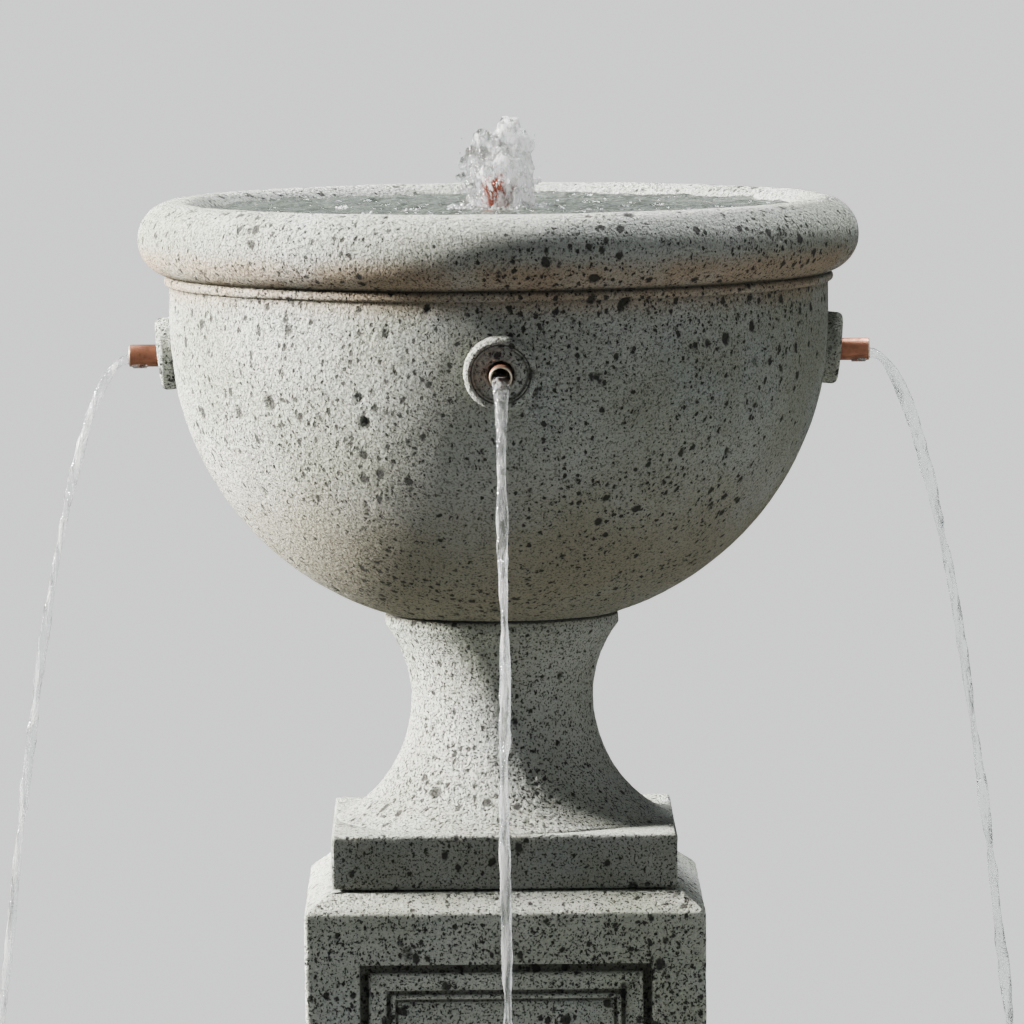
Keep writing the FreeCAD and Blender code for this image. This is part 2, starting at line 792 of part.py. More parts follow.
def make_hoses():
    lower_top = f"{VALVE_BOTTOM} - 1"
    upper_bottom = f"({VALVE_TOP} + 1)"
    upper_top = f"{BARB_SHOULDER} - 1"
    place(ring("hose_lower", "hose_inner", "hose_outer", "0", f"{lower_top} - {LOWER_HOSE}"), z=LOWER_HOSE)
    place(ring("hose_upper", "hose_inner", "hose_outer", "0", f"{upper_top} - {upper_bottom}"), z=upper_bottom)
    make_clamp("hose_clamp_pump", f"{LOWER_HOSE} + 6")
    make_clamp("hose_clamp_valve_lower", f"{VALVE_BOTTOM} - 16")
    make_clamp("hose_clamp_valve_upper", f"{VALVE_TOP} + 8")
    make_clamp("hose_clamp_bowl", f"{BARB_SHOULDER} - 16")


def make_valve():
    """Ball valve in the feed: body with a screwed cap, two seats, ball, stem and lever."""
    split = "valve_half_length - 8"
    pitch = "barb_tail / 3"
    seat_end = "(valve_ball_radius - 1)"
    body = doc.addObject("PartDesign::Body", "valve_body")
    turned_feature(
        body,
        "valve_body_turn",
        [
            ("valve_bore", "-valve_half_length - barb_tail"),
            *reversed(barbed_end("-valve_half_length", f"-{pitch}")),
            ("barb_root", "-valve_half_length"),
            ("valve_body_radius - 3", "-valve_half_length"),
            ("valve_body_radius", "-valve_half_length + 3"),
            ("valve_body_radius", split),
            ("valve_chamber + 0.1", split),
            ("valve_chamber + 0.1", f"-{seat_end}"),
            ("valve_bore", f"-{seat_end}"),
        ],
    )
    sketch_at = ("0", "0")
    boss = new_sketch(body, "stem_boss_sketch", "YZ_Plane", [], "valve_chamber + 2")
    boss.addGeometry(Part.Circle(FreeCAD.Vector(), UP, value("stem_boss_radius")))
    boss.addConstraint(Sketcher.Constraint("Coincident", 0, 3, -1, 1))
    index = boss.addConstraint(Sketcher.Constraint("Radius", 0, value("stem_boss_radius")))
    boss.setExpression(f"Constraints[{index}]", bound("stem_boss_radius"))
    boss_pad = body.newObject("PartDesign::Pad", "stem_boss")
    boss_pad.Profile = boss
    boss_pad.setExpression("Length", bound("stem_boss_end - valve_chamber - 2"))
    circle_pocket(
        body, "stem_way", "stem_radius + free_fit", "stem_boss_end - valve_chamber + 4", "YZ_Plane",
        "stem_boss_end", sketch_at,
    )
    node(place(body, z="valve_level"), "valve_body")
    cap = turned(
        "valve_cap",
        [
            ("valve_bore", seat_end),
            ("valve_chamber", seat_end),
            ("valve_chamber", split),
            ("valve_body_radius", split),
            ("valve_body_radius", "valve_half_length - 3"),
            ("valve_body_radius - 3", "valve_half_length"),
            ("barb_root", "valve_half_length"),
            *barbed_end("valve_half_length", pitch),
            ("valve_bore", "valve_half_length + barb_tail"),
        ],
    )
    place(cap, z="valve_level")
    seats = []
    for name, sign in (("lower", -1), ("upper", 1)):
        blank = primitive("Cylinder", f"seat_blank_{name}", Radius="seat_radius", Height="seat_height",
                          at=("0", "0", f"{sign} * {seat_end} - (1 + {sign}) / 2 * seat_height"))
        hollow = primitive("Sphere", f"seat_hollow_{name}", Radius="valve_ball_radius + free_fit")
        way = primitive("Cylinder", f"seat_way_{name}", Radius="valve_bore", Height="30", at=("0", "0", "-15"))
        seats.append(cut(f"seat_{name}", blank, fuse(f"seat_tools_{name}", [hollow, way])))
    node(place(group("seats", seats), z="valve_level"), "valve_seats")
    ball = primitive("Sphere", "ball_blank", Radius="valve_ball_radius")
    way = primitive("Cylinder", "ball_way", Radius="valve_bore", Height="30", at=("0", "0", "-15"))
    node(place(cut("ball_cut", ball, way), z="valve_level"), "valve_ball")
    sideways = FreeCAD.Rotation(ACROSS, 90)
    stem_start = "(valve_ball_radius - 0.4)"
    rod = primitive("Cylinder", "stem_rod", Radius="stem_radius", Height=f"stem_end - {stem_start}",
                    at=(stem_start, "0", "0"), turn=sideways)
    socket = primitive("Sphere", "stem_ball", Radius="valve_ball_radius")
    node(place(cut("stem_cut", rod, socket), z="valve_level"), "valve_stem")
    blade = primitive(
        "Box", "lever_blade", Length="lever_thickness", Width="lever_width", Height="lever_length",
        at=("stem_boss_end + 1", "-lever_width / 2", "-lever_width / 2"),
    )
    eye = primitive("Cylinder", "lever_eye", Radius="stem_radius", Height="lever_thickness + 2",
                    at=("stem_boss_end", "0", "0"), turn=sideways)
    node(place(cut("lever_cut", blade, eye), z="valve_level"), "valve_lever")
    nut = primitive("Prism", "lever_nut_blank", Circumradius="5.5", Height="3",
                    at=("stem_boss_end + lever_thickness + 1", "0", "0"), turn=sideways)
    thread = primitive("Cylinder", "lever_nut_thread", Radius="stem_radius", Height="5",
                       at=("stem_boss_end + lever_thickness", "0", "0"), turn=sideways)
    node(place(cut("lever_nut_cut", nut, thread), z="valve_level"), "valve_lever_nut")


# ---- pump, on the pool's floor inside the pedestal. Its axis runs forward, along -Y.


def make_pump_body():
    """Sealed motor housing, with the rotor's well open at the front."""
    half = "pump_width / 2"
    low = "pump_foot_height"
    high = "(pump_foot_height + pump_body_height)"
    corner = "pump_corner"
    section = [
        (f"-{half} + {corner}", low, corner),
        (f"{half} - {corner}", low),
        (half, f"{low} + {corner}", corner),
        (half, f"{high} - {corner}"),
        (f"{half} - {corner}", high, corner),
        (f"-{half} + {corner}", high),
        (f"-{half}", f"{high} - {corner}", corner),
        (f"-{half}", f"{low} + {corner}"),
    ]
    body = doc.addObject("PartDesign::Body", "pump_housing")
    pad(body, "housing_block", [section], "pump_length", "XZ_Plane", "-pump_front", back=True)
    axis = ("0", "pump_axis")
    circle_pocket(body, "rotor_well", "well_radius", "well_depth", "XZ_Plane", "-pump_front", axis)
    circle_pocket(
        body, "shaft_seat", "shaft_radius + free_fit / 2", "well_depth + 6", "XZ_Plane", "-pump_front", axis
    )
    circle_pocket(
        body, "gland_seat", "gland_radius - 2", "8", "XZ_Plane", "-pump_front - pump_length",
        ("0", "pump_axis - gland_drop"), back=True,
    )
    node(place(body, z="pool_floor"), "pump_housing")


def lying_ring(label, inner, outer, length, start, level=PUMP_AXIS):
    """A turned piece on the pump's axis, from start along +Y for length."""
    piece = ring(label, inner, outer, "0", length)
    return place(piece, "0", f"{start} + ({length})", level, turn=LYING)


def make_pump_moving():
    """Shaft, magnet and impeller."""
    magnet_start = "pump_front + 3"
    place(
        turned("pump_shaft", [("0", "0"), ("shaft_radius", "0"), ("shaft_radius", "shaft_length"), ("0", "shaft_length")]),
        "0", "pump_front + well_depth + 5", PUMP_AXIS, turn=LYING,
    )
    lying_ring("rotor_magnet", "magnet_bore", "magnet_radius", "magnet_length", magnet_start)
    hub = primitive("Cylinder", "impeller_hub_blank", Radius="impeller_hub", Height="impeller_width")
    disc = primitive("Cylinder", "impeller_disc", Radius="impeller_radius", Height="1.5")
    blades = [
        primitive(
            "Box", f"impeller_blade_{number}", Length="impeller_radius", Width="impeller_blade",
            Height="impeller_width", at=("0", "0", "0"), turn=FreeCAD.Rotation(UP, 60 * number),
        )
        for number in range(6)
    ]
    round_off = primitive("Cylinder", "impeller_round", Radius="impeller_radius", Height="impeller_width")
    vanes = doc.addObject("Part::MultiCommon", "impeller_vanes")
    vanes.Shapes = [fuse("impeller_star", blades), round_off]
    sleeve = primitive("Cylinder", "impeller_sleeve", Radius="magnet_radius - 3", Height="3", at=("0", "0", "-3"))
    solid = fuse("impeller_solid", [hub, disc, vanes, sleeve])
    way = primitive("Cylinder", "impeller_way", Radius="magnet_bore", Height="40", at=("0", "0", "-20"))
    impeller = cut("impeller_cut", solid, way)
    node(place(impeller, "0", "pump_front", PUMP_AXIS, turn=LYING), "impeller")


def make_volute():
    """Impeller chamber with its inlet at the front and the barbed outlet on top."""
    depth = "(impeller_width + 1)"
    face = f"pump_front - {depth}"
    drum = primitive("Cylinder", "volute_drum", Radius="chamber_radius + chamber_wall",
                     Height=f"{depth} + chamber_wall", at=("0", "pump_front", "0"), turn=LYING)
    top = "(pump_foot_height + pump_body_height - pump_axis)"
    inset = "outlet_radius * 0.7"
    duct = primitive("Box", "volute_duct", Length="outlet_radius * 2", Width=f"{depth} + chamber_wall",
                     Height=f"{top} - 11.5", at=("-outlet_radius", f"{face} - chamber_wall", "10"))
    riser = primitive("Box", "volute_riser", Length=f"2 * {inset}", Width=f"{inset} + pump_front", Height="10",
                      at=(f"-{inset}", f"-{inset}", f"{top} - 9"))
    neck = primitive("Cylinder", "volute_neck", Radius="outlet_radius", Height=f"outlet_shoulder - {top} - 0.3",
                     at=("0", "0", f"{top} + 0.3"))
    tail = doc.addObject("PartDesign::Body", "volute_tail")
    turned_feature(
        tail,
        "volute_tail_turn",
        [
            ("0", "outlet_shoulder"),
            ("barb_root", "outlet_shoulder"),
            *barbed_end("outlet_shoulder", "barb_tail / 3"),
            ("0", "outlet_shoulder + barb_tail"),
        ],
    )
    chamber = primitive("Cylinder", "volute_chamber", Radius="chamber_radius", Height=depth,
                        at=("0", "pump_front", "0"), turn=LYING)
    inlet = primitive("Cylinder", "volute_inlet", Radius="inlet_radius", Height="40",
                      at=("0", "pump_front", "0"), turn=LYING)
    outlet = primitive("Cylinder", "volute_outlet", Radius="outlet_bore", Height="outlet_shoulder + 40",
                       at=("0", "0", "10"))
    hub = primitive("Cylinder", "volute_hub", Radius="3.5", Height="chamber_wall", at=("0", face, "0"), turn=LYING)
    bar = primitive("Box", "volute_bar", Length="inlet_radius * 2 + 2", Width="chamber_wall", Height="2",
                    at=("-inlet_radius - 1", f"{face} - chamber_wall", "-1"))
    seat = primitive("Cylinder", "volute_shaft_seat", Radius="shaft_radius + free_fit / 2", Height="40",
                     at=("0", "pump_front", "0"), turn=LYING)
    solid = fuse("volute_solid", [drum, duct, riser, neck, tail])
    shell = cut("volute_shell", solid, fuse("volute_ways", [chamber, inlet, outlet]))
    whole = cut("volute_cut", fuse("volute_with_hub", [shell, hub, bar]), seat)
    node(place(whole, z=PUMP_AXIS), "pump_volute")


def make_strainer():
    """Slotted cover that slides over the pump's front, open at the back."""
    body = doc.addObject("PartDesign::Body", "pump_strainer")
    inner = "(pump_width + 2 * strainer_gap)"
    low = "(pump_foot_height - strainer_gap)"
    high = "(pump_foot_height + pump_body_height + strainer_gap)"
    front = "strainer_depth - pump_front"
    length = "strainer_depth + strainer_lap"
    wall = "strainer_wall"
    block = rectangle(f"{inner} + 2 * {wall}", f"{low} - {wall}", f"{high} + {wall}")
    pad(body, "strainer_block", [block], length, "XZ_Plane", front, back=True)
    pad(
        body, "strainer_hollow", [rectangle(inner, low, high)], f"{length} - {wall}", "XZ_Plane",
        "-pump_front - strainer_lap", kind="Pocket", back=True,
    )
    middle = f"({low} + {high}) / 2"
    slots = []
    for number in range(int(SIZES["slot_count"])):
        left = f"({number} - (slot_count - 1) / 2) * slot_pitch - slot_width / 2"
        slots.append(
            [
                (left, f"{middle} - slot_length / 2"),
                (f"{left} + slot_width", f"{middle} - slot_length / 2"),
                (f"{left} + slot_width", f"{middle} + slot_length / 2"),
                (left, f"{middle} + slot_length / 2"),
            ]
        )
    pad(body, "strainer_slots", slots, f"{wall} + 1", "XZ_Plane", front, kind="Pocket")
    circle_pocket(body, "outlet_way", "outlet_radius + 0.2", f"{wall} + 2", "XY_Plane", f"{high} + {wall} + 1")
    circle_pocket(
        body, "dial_way", "dial_post + free_fit", f"{wall} + 2", "YZ_Plane", f"{inner} / 2 + {wall} + 1",
        ("-dial_forward", "pump_axis"),
    )
    node(place(body, z="pool_floor"), "pump_strainer")


def make_dial():
    """Flow dial with its post through the strainer's side."""
    base = primitive("Cylinder", "dial_disc", Radius="dial_radius", Height="dial_thickness")
    grip = primitive("Box", "dial_grip", Length="dial_radius * 1.7", Width="3", Height="4",
                     at=("-dial_radius * 0.85", "-1.5", "dial_thickness"))
    post = primitive("Cylinder", "dial_post_pin", Radius="dial_post", Height="strainer_wall + 3",
                     at=("0", "0", "-strainer_wall - 3"))
    dial = fuse("dial_solid", [base, grip, post])
    side = "pump_width / 2 + strainer_gap + strainer_wall + 0.2"
    node(place(dial, side, "-dial_forward", PUMP_AXIS, turn=FreeCAD.Rotation(ACROSS, 90)), "flow_dial")


def make_pump_details():
    """Suction feet, cable gland and shaft bushes."""
    feet = []
    for x in (-1, 1):
        for y in ("pump_front + 16", "pump_front + pump_length - 16"):
            number = len(feet)
            cone = primitive("Cone", f"foot_cone_{number}", Radius1="pump_foot_radius", Radius2="pump_foot_radius / 2",
                             Height="pump_foot_height", at=(f"{x} * (pump_width / 2 - 14)", y, "pool_floor"))
            feet.append(cone)
    node(group("feet", feet), "pump_feet")
    back = "pump_front + pump_length"
    gland = turned(
        "cable_gland",
        [
            ("gland_bore", "0"),
            ("gland_radius - 2 - free_fit", "0"),
            ("gland_radius - 2 - free_fit", "7"),
            ("gland_radius", "7"),
            ("gland_radius", "11"),
            ("gland_radius - 2.5", "7 + gland_length"),
            ("gland_bore", "7 + gland_length"),
        ],
    )
    place(gland, "0", f"{back} - 7", f"{PUMP_AXIS} - gland_drop", turn=FreeCAD.Rotation(FORWARD, -90))


def main():
    make_pool()
    make_drain_stopper()
    make_pedestal()
    make_foot()
    make_bedding()
    make_bowl()
    for side, x, y, angle in SIDES:
        make_spout(side, x, y, angle)
    make_bulkhead()
    make_hose_barb()
    make_hoses()
    make_valve()
    make_pump_body()
    make_pump_moving()
    make_volute()
    make_strainer()
    make_dial()
    make_pump_details()
    doc.recompute()

    for piece in doc.Objects:
        faults = [state for state in piece.State if state in ("Invalid", "Error")]
        if faults:
            raise RuntimeError(f"{piece.Label} failed to build: {faults}")
    for piece in nodes:
        if piece.Shape.isNull() or not piece.Shape.isValid() or not piece.Shape.Solids:
            raise RuntimeError(f"{piece.Label} has no valid solid")

    os.makedirs("parts", exist_ok=True)
    for piece in nodes:
        piece.Shape.exportStep(f"parts/{piece.Label}.step")
        volume = sum(solid.Volume for solid in piece.Shape.Solids) / 1000
        box = piece.Shape.BoundBox
        print(
            f"{piece.Label:24s} {len(piece.Shape.Solids)} solid {volume:10.1f} cm3"
            f"  x {box.XMin:.1f} {box.XMax:.1f}  y {box.YMin:.1f} {box.YMax:.1f}  z {box.ZMin:.1f} {box.ZMax:.1f}"
        )


main()
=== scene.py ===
import math
import random

import bmesh
import bpy
import numpy as np
from mathutils import Matrix, Vector, noise


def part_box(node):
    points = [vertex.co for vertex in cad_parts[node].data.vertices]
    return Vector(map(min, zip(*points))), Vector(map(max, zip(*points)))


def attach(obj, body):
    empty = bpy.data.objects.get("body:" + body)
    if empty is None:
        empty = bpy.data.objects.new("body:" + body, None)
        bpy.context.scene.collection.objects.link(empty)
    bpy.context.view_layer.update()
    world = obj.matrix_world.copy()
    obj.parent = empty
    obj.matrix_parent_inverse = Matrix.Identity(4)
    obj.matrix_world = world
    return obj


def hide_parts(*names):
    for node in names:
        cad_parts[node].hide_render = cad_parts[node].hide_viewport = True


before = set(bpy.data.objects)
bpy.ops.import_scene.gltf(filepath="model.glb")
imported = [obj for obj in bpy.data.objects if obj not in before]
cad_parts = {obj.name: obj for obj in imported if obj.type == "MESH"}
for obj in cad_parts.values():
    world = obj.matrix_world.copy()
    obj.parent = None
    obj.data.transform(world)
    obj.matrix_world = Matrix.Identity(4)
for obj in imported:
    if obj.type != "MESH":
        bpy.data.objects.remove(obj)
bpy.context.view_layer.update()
mm = 0.001  # the dictionaries below are in millimetres
rootBody = "fountain"
sides = {"right": 0, "back": 90, "left": 180, "front": 270}


def heightOf(node, top=False):
    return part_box(node)[1 if top else 0][2] / mm


# ---- node helpers, the same for shaders and geometry


def wire(tree, kind, inputs=None, **settings):
    made = tree.nodes.new(kind)
    for name, given in settings.items():
        setattr(made, name, given)
    for name, given in (inputs or {}).items():
        if isinstance(given, bpy.types.NodeSocket):
            tree.links.new(given, made.inputs[name])
        else:
            made.inputs[name].default_value = given
    return made


def calc(tree, operation, *values, clamp=False):
    settings = {"operation": operation, "use_clamp": clamp}
    return wire(tree, "ShaderNodeMath", dict(enumerate(values)), **settings).outputs[0]


def weighed(tree, first, share, second, otherShare, clamp=False):
    parts = [calc(tree, "MULTIPLY", value, part) for value, part in ((first, share), (second, otherShare))]
    return calc(tree, "ADD", *parts, clamp=clamp)


def vectorCalc(tree, operation, *values):
    return wire(tree, "ShaderNodeVectorMath", dict(enumerate(values)), operation=operation).outputs[0]


def stretched(tree, at, factor):
    return vectorCalc(tree, "MULTIPLY", at, factor)


def noiseOf(tree, at, scale, detail=2.0, roughness=0.5, colour=False):
    inputs = {"Vector": at, "Scale": scale, "Detail": detail, "Roughness": roughness}
    return wire(tree, "ShaderNodeTexNoise", inputs).outputs[1 if colour else 0]


def rangeOf(tree, value, low, high, newLow=0.0, newHigh=1.0, smooth=True):
    kind = "SMOOTHSTEP" if smooth else "LINEAR"
    inputs = {0: value, 1: low, 2: high, 3: newLow, 4: newHigh}
    return wire(tree, "ShaderNodeMapRange", inputs, interpolation_type=kind).outputs[0]


def blendOf(tree, factor, first, second, kind="MIX"):
    inputs = {0: factor, 6: first, 7: second}
    return wire(tree, "ShaderNodeMix", inputs, data_type="RGBA", blend_type=kind).outputs[2]


def bandOf(tree, value, levels):
    # 1 between the two inner levels, down to 0 at the outer two
    low, lowFull, highFull, high = levels
    return calc(tree, "MULTIPLY", rangeOf(tree, value, low, lowFull), rangeOf(tree, value, high, highFull))


def rgb(red, green, blue):
    return (red, green, blue, 1.0)


def bumpOf(tree, strength, height):
    inputs = {"Strength": strength, "Distance": 1.0, "Height": height}
    return wire(tree, "ShaderNodeBump", inputs).outputs[0]


def newMaterial(name):
    made = bpy.data.materials.new(name)
    made.use_nodes = True
    tree = made.node_tree
    tree.nodes.clear()
    return made, tree, wire(tree, "ShaderNodeTexCoord").outputs["Object"]


def closeMaterial(made, inputs):
    surface = wire(made.node_tree, "ShaderNodeBsdfPrincipled", inputs)
    wire(made.node_tree, "ShaderNodeOutputMaterial", {0: surface.outputs[0]})
    return made


# ---- cast stone: the same pits drive the shape and the colour

stone = {
    "light": rgb(0.455, 0.465, 0.42),
    "green": rgb(0.32, 0.335, 0.27),
    "warm": rgb(0.37, 0.28, 0.185),
    "cool": rgb(0.40, 0.43, 0.42),
    # painted shade colour for the bowl's underside
    "under": rgb(0.19, 0.18, 0.12),
    "pit": rgb(0.028, 0.027, 0.023),
    # dark colour for painted shade in joints, grooves and pebble hollows, and for the darker plinth sides
    "paintedShadeAndMarks": rgb(0.06, 0.06, 0.045),
    # painted light: the pedestal's stone is made lighter to lift its shaded faces
    "pedestalShadeLift": 1.38,
    "greenScale": 5.5,
    "coolScale": 14,
    # heights in metres: the band round the bowl's bead, a stain with painted warm reflected light, and the
    # one on its underside, painted shade with painted warm bounce light
    "beadBand": (1.068, 1.09, 1.104, 1.121),
    "underBand": (0.845, 0.855, 0.89, 0.99),
    "beadStainAndBounce": 0.9,
    "underStain": 0.45,
    "underShare": 0.55,
    "stainAndBounceScale": 11,
    "grainScale": 1150,
    "grainShade": (0.8, 1.16),
    "pebbleScale": 330,
    "shadeAndMarksShare": 0.8,
    "pitShare": 0.93,
    "pitBend": 0.0055,
    "pitBendScale": 240,
    "crowdScale": 9,
    # cells a metre, then the noise levels where a speckle starts and is full
    "speckle": (610, 0.455, 0.375),
    "speckleDark": 0.55,
    "speckleLowDark": 0.88,
    "speckleFade": (0.88, 0.82),
    "speckleBump": 0.0020,
    "grainBump": 0.0011,
    "pebbleBump": 0.0040,
    "pitBump": 0.0018,
    "riseScale": 26,
    "fineScale": 210,
}
# cells a metre, widest pit as a share of a cell, share of cells that hold one
coarsePits = [(44, 0.22, 0.9)]
finePits = [(96, 0.33, 1.0), (205, 0.40, 0.95), (400, 0.42, 0.85)]


def pitDepth(tree, at, layers):
    wander = noiseOf(tree, at, stone["pitBendScale"], 3.0, 0.6, colour=True)
    wander = vectorCalc(tree, "SUBTRACT", wander, (0.5, 0.5, 0.5))
    bent = vectorCalc(tree, "ADD", at, stretched(tree, wander, (stone["pitBend"],) * 3))
    bent = stretched(tree, bent, (1.0, 1.0, 0.8))
    crowd = rangeOf(tree, noiseOf(tree, at, stone["crowdScale"], 2.0), 0.35, 0.65, 0.72, 1.2)
    deepest = 0.0
    for cells, widest, share in layers:
        cell = wire(tree, "ShaderNodeTexVoronoi", {"Vector": bent, "Scale": cells})
        chance = wire(tree, "ShaderNodeSeparateXYZ", {0: cell.outputs["Color"]}).outputs[0]
        radius = rangeOf(tree, chance, 1 - share, 1.0, 0.0, widest, smooth=False)
        radius = calc(tree, "MAXIMUM", calc(tree, "MULTIPLY", radius, crowd), 0.0001)
        away = calc(tree, "DIVIDE", cell.outputs["Distance"], radius)
        deepest = calc(tree, "MAXIMUM", deepest, rangeOf(tree, away, 0.6, 1.05, 1.0, 0.0))
    return deepest


def stoneMaterial(name="Cast stone", shadeLift=1.0):
    made, tree, at = newMaterial(name)
    height = wire(tree, "ShaderNodeSeparateXYZ", {0: at}).outputs[2]
    pits = calc(tree, "MAXIMUM", pitDepth(tree, at, coarsePits), pitDepth(tree, at, finePits))
    patch = rangeOf(tree, noiseOf(tree, at, stone["greenScale"], 4.0, 0.6), 0.38, 0.66)
    colour = blendOf(tree, patch, stone["light"], stone["green"])
    patch = rangeOf(tree, noiseOf(tree, at, stone["coolScale"], 5.0, 0.65), 0.5, 0.72, 0.0, 0.55)
    colour = blendOf(tree, patch, colour, stone["cool"])
    bead = bandOf(tree, height, stone["beadBand"])
    under = bandOf(tree, height, stone["underBand"])
    # the bead's band is a stain with painted warm reflected light; the underside's band is painted warm
    # bounce light
    stainAndBounce = weighed(tree, bead, stone["beadStainAndBounce"], under, stone["underStain"], clamp=True)
    patch = rangeOf(tree, noiseOf(tree, at, stone["stainAndBounceScale"], 4.0, 0.6), 0.3, 0.6, 0.25, 1.0)
    colour = blendOf(tree, calc(tree, "MULTIPLY", stainAndBounce, patch), colour, stone["warm"])
    # painted shade: the bowl's underside is darkened
    colour = blendOf(tree, calc(tree, "MULTIPLY", under, stone["underShare"]), colour, stone["under"])
    grain = noiseOf(tree, at, stone["grainScale"], 3.0, 0.7)
    darker, lighter = (rgb(*(shade * shadeLift,) * 3) for shade in stone["grainShade"])
    shade = blendOf(tree, rangeOf(tree, grain, 0.3, 0.7), darker, lighter)
    colour = blendOf(tree, 1.0, colour, shade, "MULTIPLY")
    pebble = noiseOf(tree, at, stone["pebbleScale"], 3.0, 0.6)
    # painted shade: the pebble's hollows are darkened
    colour = blendOf(tree, rangeOf(tree, pebble, 0.44, 0.30, 0.0, 0.45), colour, stone["paintedShadeAndMarks"])
    scale, first, full = stone["speckle"]
    speckle = rangeOf(tree, noiseOf(tree, at, scale, 2.0, 0.55), first, full)
    strong = rangeOf(tree, height, *stone["speckleFade"], stone["speckleDark"], stone["speckleLowDark"])
    colour = blendOf(tree, calc(tree, "MULTIPLY", speckle, strong), colour, stone["pit"])
    # painted shade in the marked joints and grooves; the plinth sides are darkened too
    paintedShadeAndMarks = wire(tree, "ShaderNodeAttribute", attribute_name="paintedShadeAndMarks").outputs["Fac"]
    colour = blendOf(tree, calc(tree, "MULTIPLY", paintedShadeAndMarks, stone["shadeAndMarksShare"]), colour, stone["paintedShadeAndMarks"])
    colour = blendOf(tree, calc(tree, "MULTIPLY", pits, stone["pitShare"]), colour, stone["pit"])
    height = weighed(tree, grain, stone["grainBump"], pebble, stone["pebbleBump"])
    height = calc(tree, "SUBTRACT", height, calc(tree, "MULTIPLY", pits, stone["pitBump"]))
    height = calc(tree, "SUBTRACT", height, calc(tree, "MULTIPLY", speckle, stone["speckleBump"]))
    inputs = {"Base Color": colour, "Roughness": 0.92, "Specular IOR Level": 0.25}
    return closeMaterial(made, {**inputs, "Normal": bumpOf(tree, 1.0, height)})


def geometryTree(name, sockets):
    tree = bpy.data.node_groups.new(name, "GeometryNodeTree")
    tree.interface.new_socket(name="Geometry", in_out="INPUT", socket_type="NodeSocketGeometry")
    for title, kind, given in sockets:
        made = tree.interface.new_socket(name=title, in_out="INPUT", socket_type="NodeSocket" + kind)
        if given is not None:
            made.default_value = given
    tree.interface.new_socket(name="Geometry", in_out="OUTPUT", socket_type="NodeSocketGeometry")
    return tree, tree.nodes.new("NodeGroupInput").outputs


def closeTree(tree, geometry, finish):
    realised = wire(tree, "GeometryNodeRealizeInstances", {0: geometry}).outputs[0]
    finished = wire(tree, "GeometryNodeSetMaterial", {"Geometry": realised, "Material": finish}).outputs[0]
    tree.links.new(finished, tree.nodes.new("NodeGroupOutput").inputs[0])
    return tree


def stoneTree():
    lengths = {"Pit depth": 0.001, "Unevenness": 0.0006, "Grain": 0.0003}
    sockets = [(title, "Float", given) for title, given in lengths.items()] + [("Finish", "Material", None)]
    tree, given = geometryTree("Weathered stone", sockets)
    at = wire(tree, "GeometryNodeInputPosition").outputs[0]
    normal = wire(tree, "GeometryNodeInputNormal").outputs[0]
    rise = calc(tree, "SUBTRACT", noiseOf(tree, at, stone["riseScale"], 3.0), 0.5)
    rise = calc(tree, "MULTIPLY", rise, given["Unevenness"])
    fine = calc(tree, "SUBTRACT", noiseOf(tree, at, stone["fineScale"], 2.0, 0.6), 0.6)
    fine = calc(tree, "MULTIPLY", fine, given["Grain"])
    sink = calc(tree, "MULTIPLY", pitDepth(tree, at, coarsePits), given["Pit depth"])
    move = calc(tree, "SUBTRACT", calc(tree, "ADD", rise, fine), sink)
    offset = wire(tree, "ShaderNodeVectorMath", {0: normal, "Scale": move}, operation="SCALE").outputs[0]
    moved = {"Geometry": given["Geometry"], "Offset": offset}
    return closeTree(tree, wire(tree, "GeometryNodeSetPosition", moved).outputs[0], given["Finish"])


# ---- mesh helpers


def skin(name, rings, closed=True):
    # a mesh over rings of equal length; a ring of one point is a pole
    points, starts, faces = [], [], []
    for ring in rings:
        starts.append(len(points))
        points.extend(ring)
    pairs = [(i, i + 1) for i in range(len(rings) - 1)] + ([(len(rings) - 1, 0)] if closed else [])
    for first, second in pairs:
        a, b = starts[first], starts[second]
        count = max(len(rings[first]), len(rings[second]))
        for i in range(count):
            j = (i + 1) % count
            if len(rings[first]) == 1:
                faces.append((a, b + j, b + i))
            elif len(rings[second]) == 1:
                faces.append((a + i, a + j, b))
            else:
                faces.append((a + i, a + j, b + j, b + i))
    return meshPiece(name, np.array(points) * mm, faces)


def meshPiece(name, points, faces):
    mesh = bpy.data.meshes.new(name)
    mesh.from_pydata([tuple(point) for point in points], [], faces)
    build = bmesh.new()
    build.from_mesh(mesh)
    bmesh.ops.recalc_face_normals(build, faces=build.faces)
    build.to_mesh(mesh)
    build.free()
    mesh.polygons.foreach_set("use_smooth", [True] * len(mesh.polygons))
    piece = bpy.data.objects.new(name, mesh)
    bpy.context.scene.collection.objects.link(piece)
    return piece


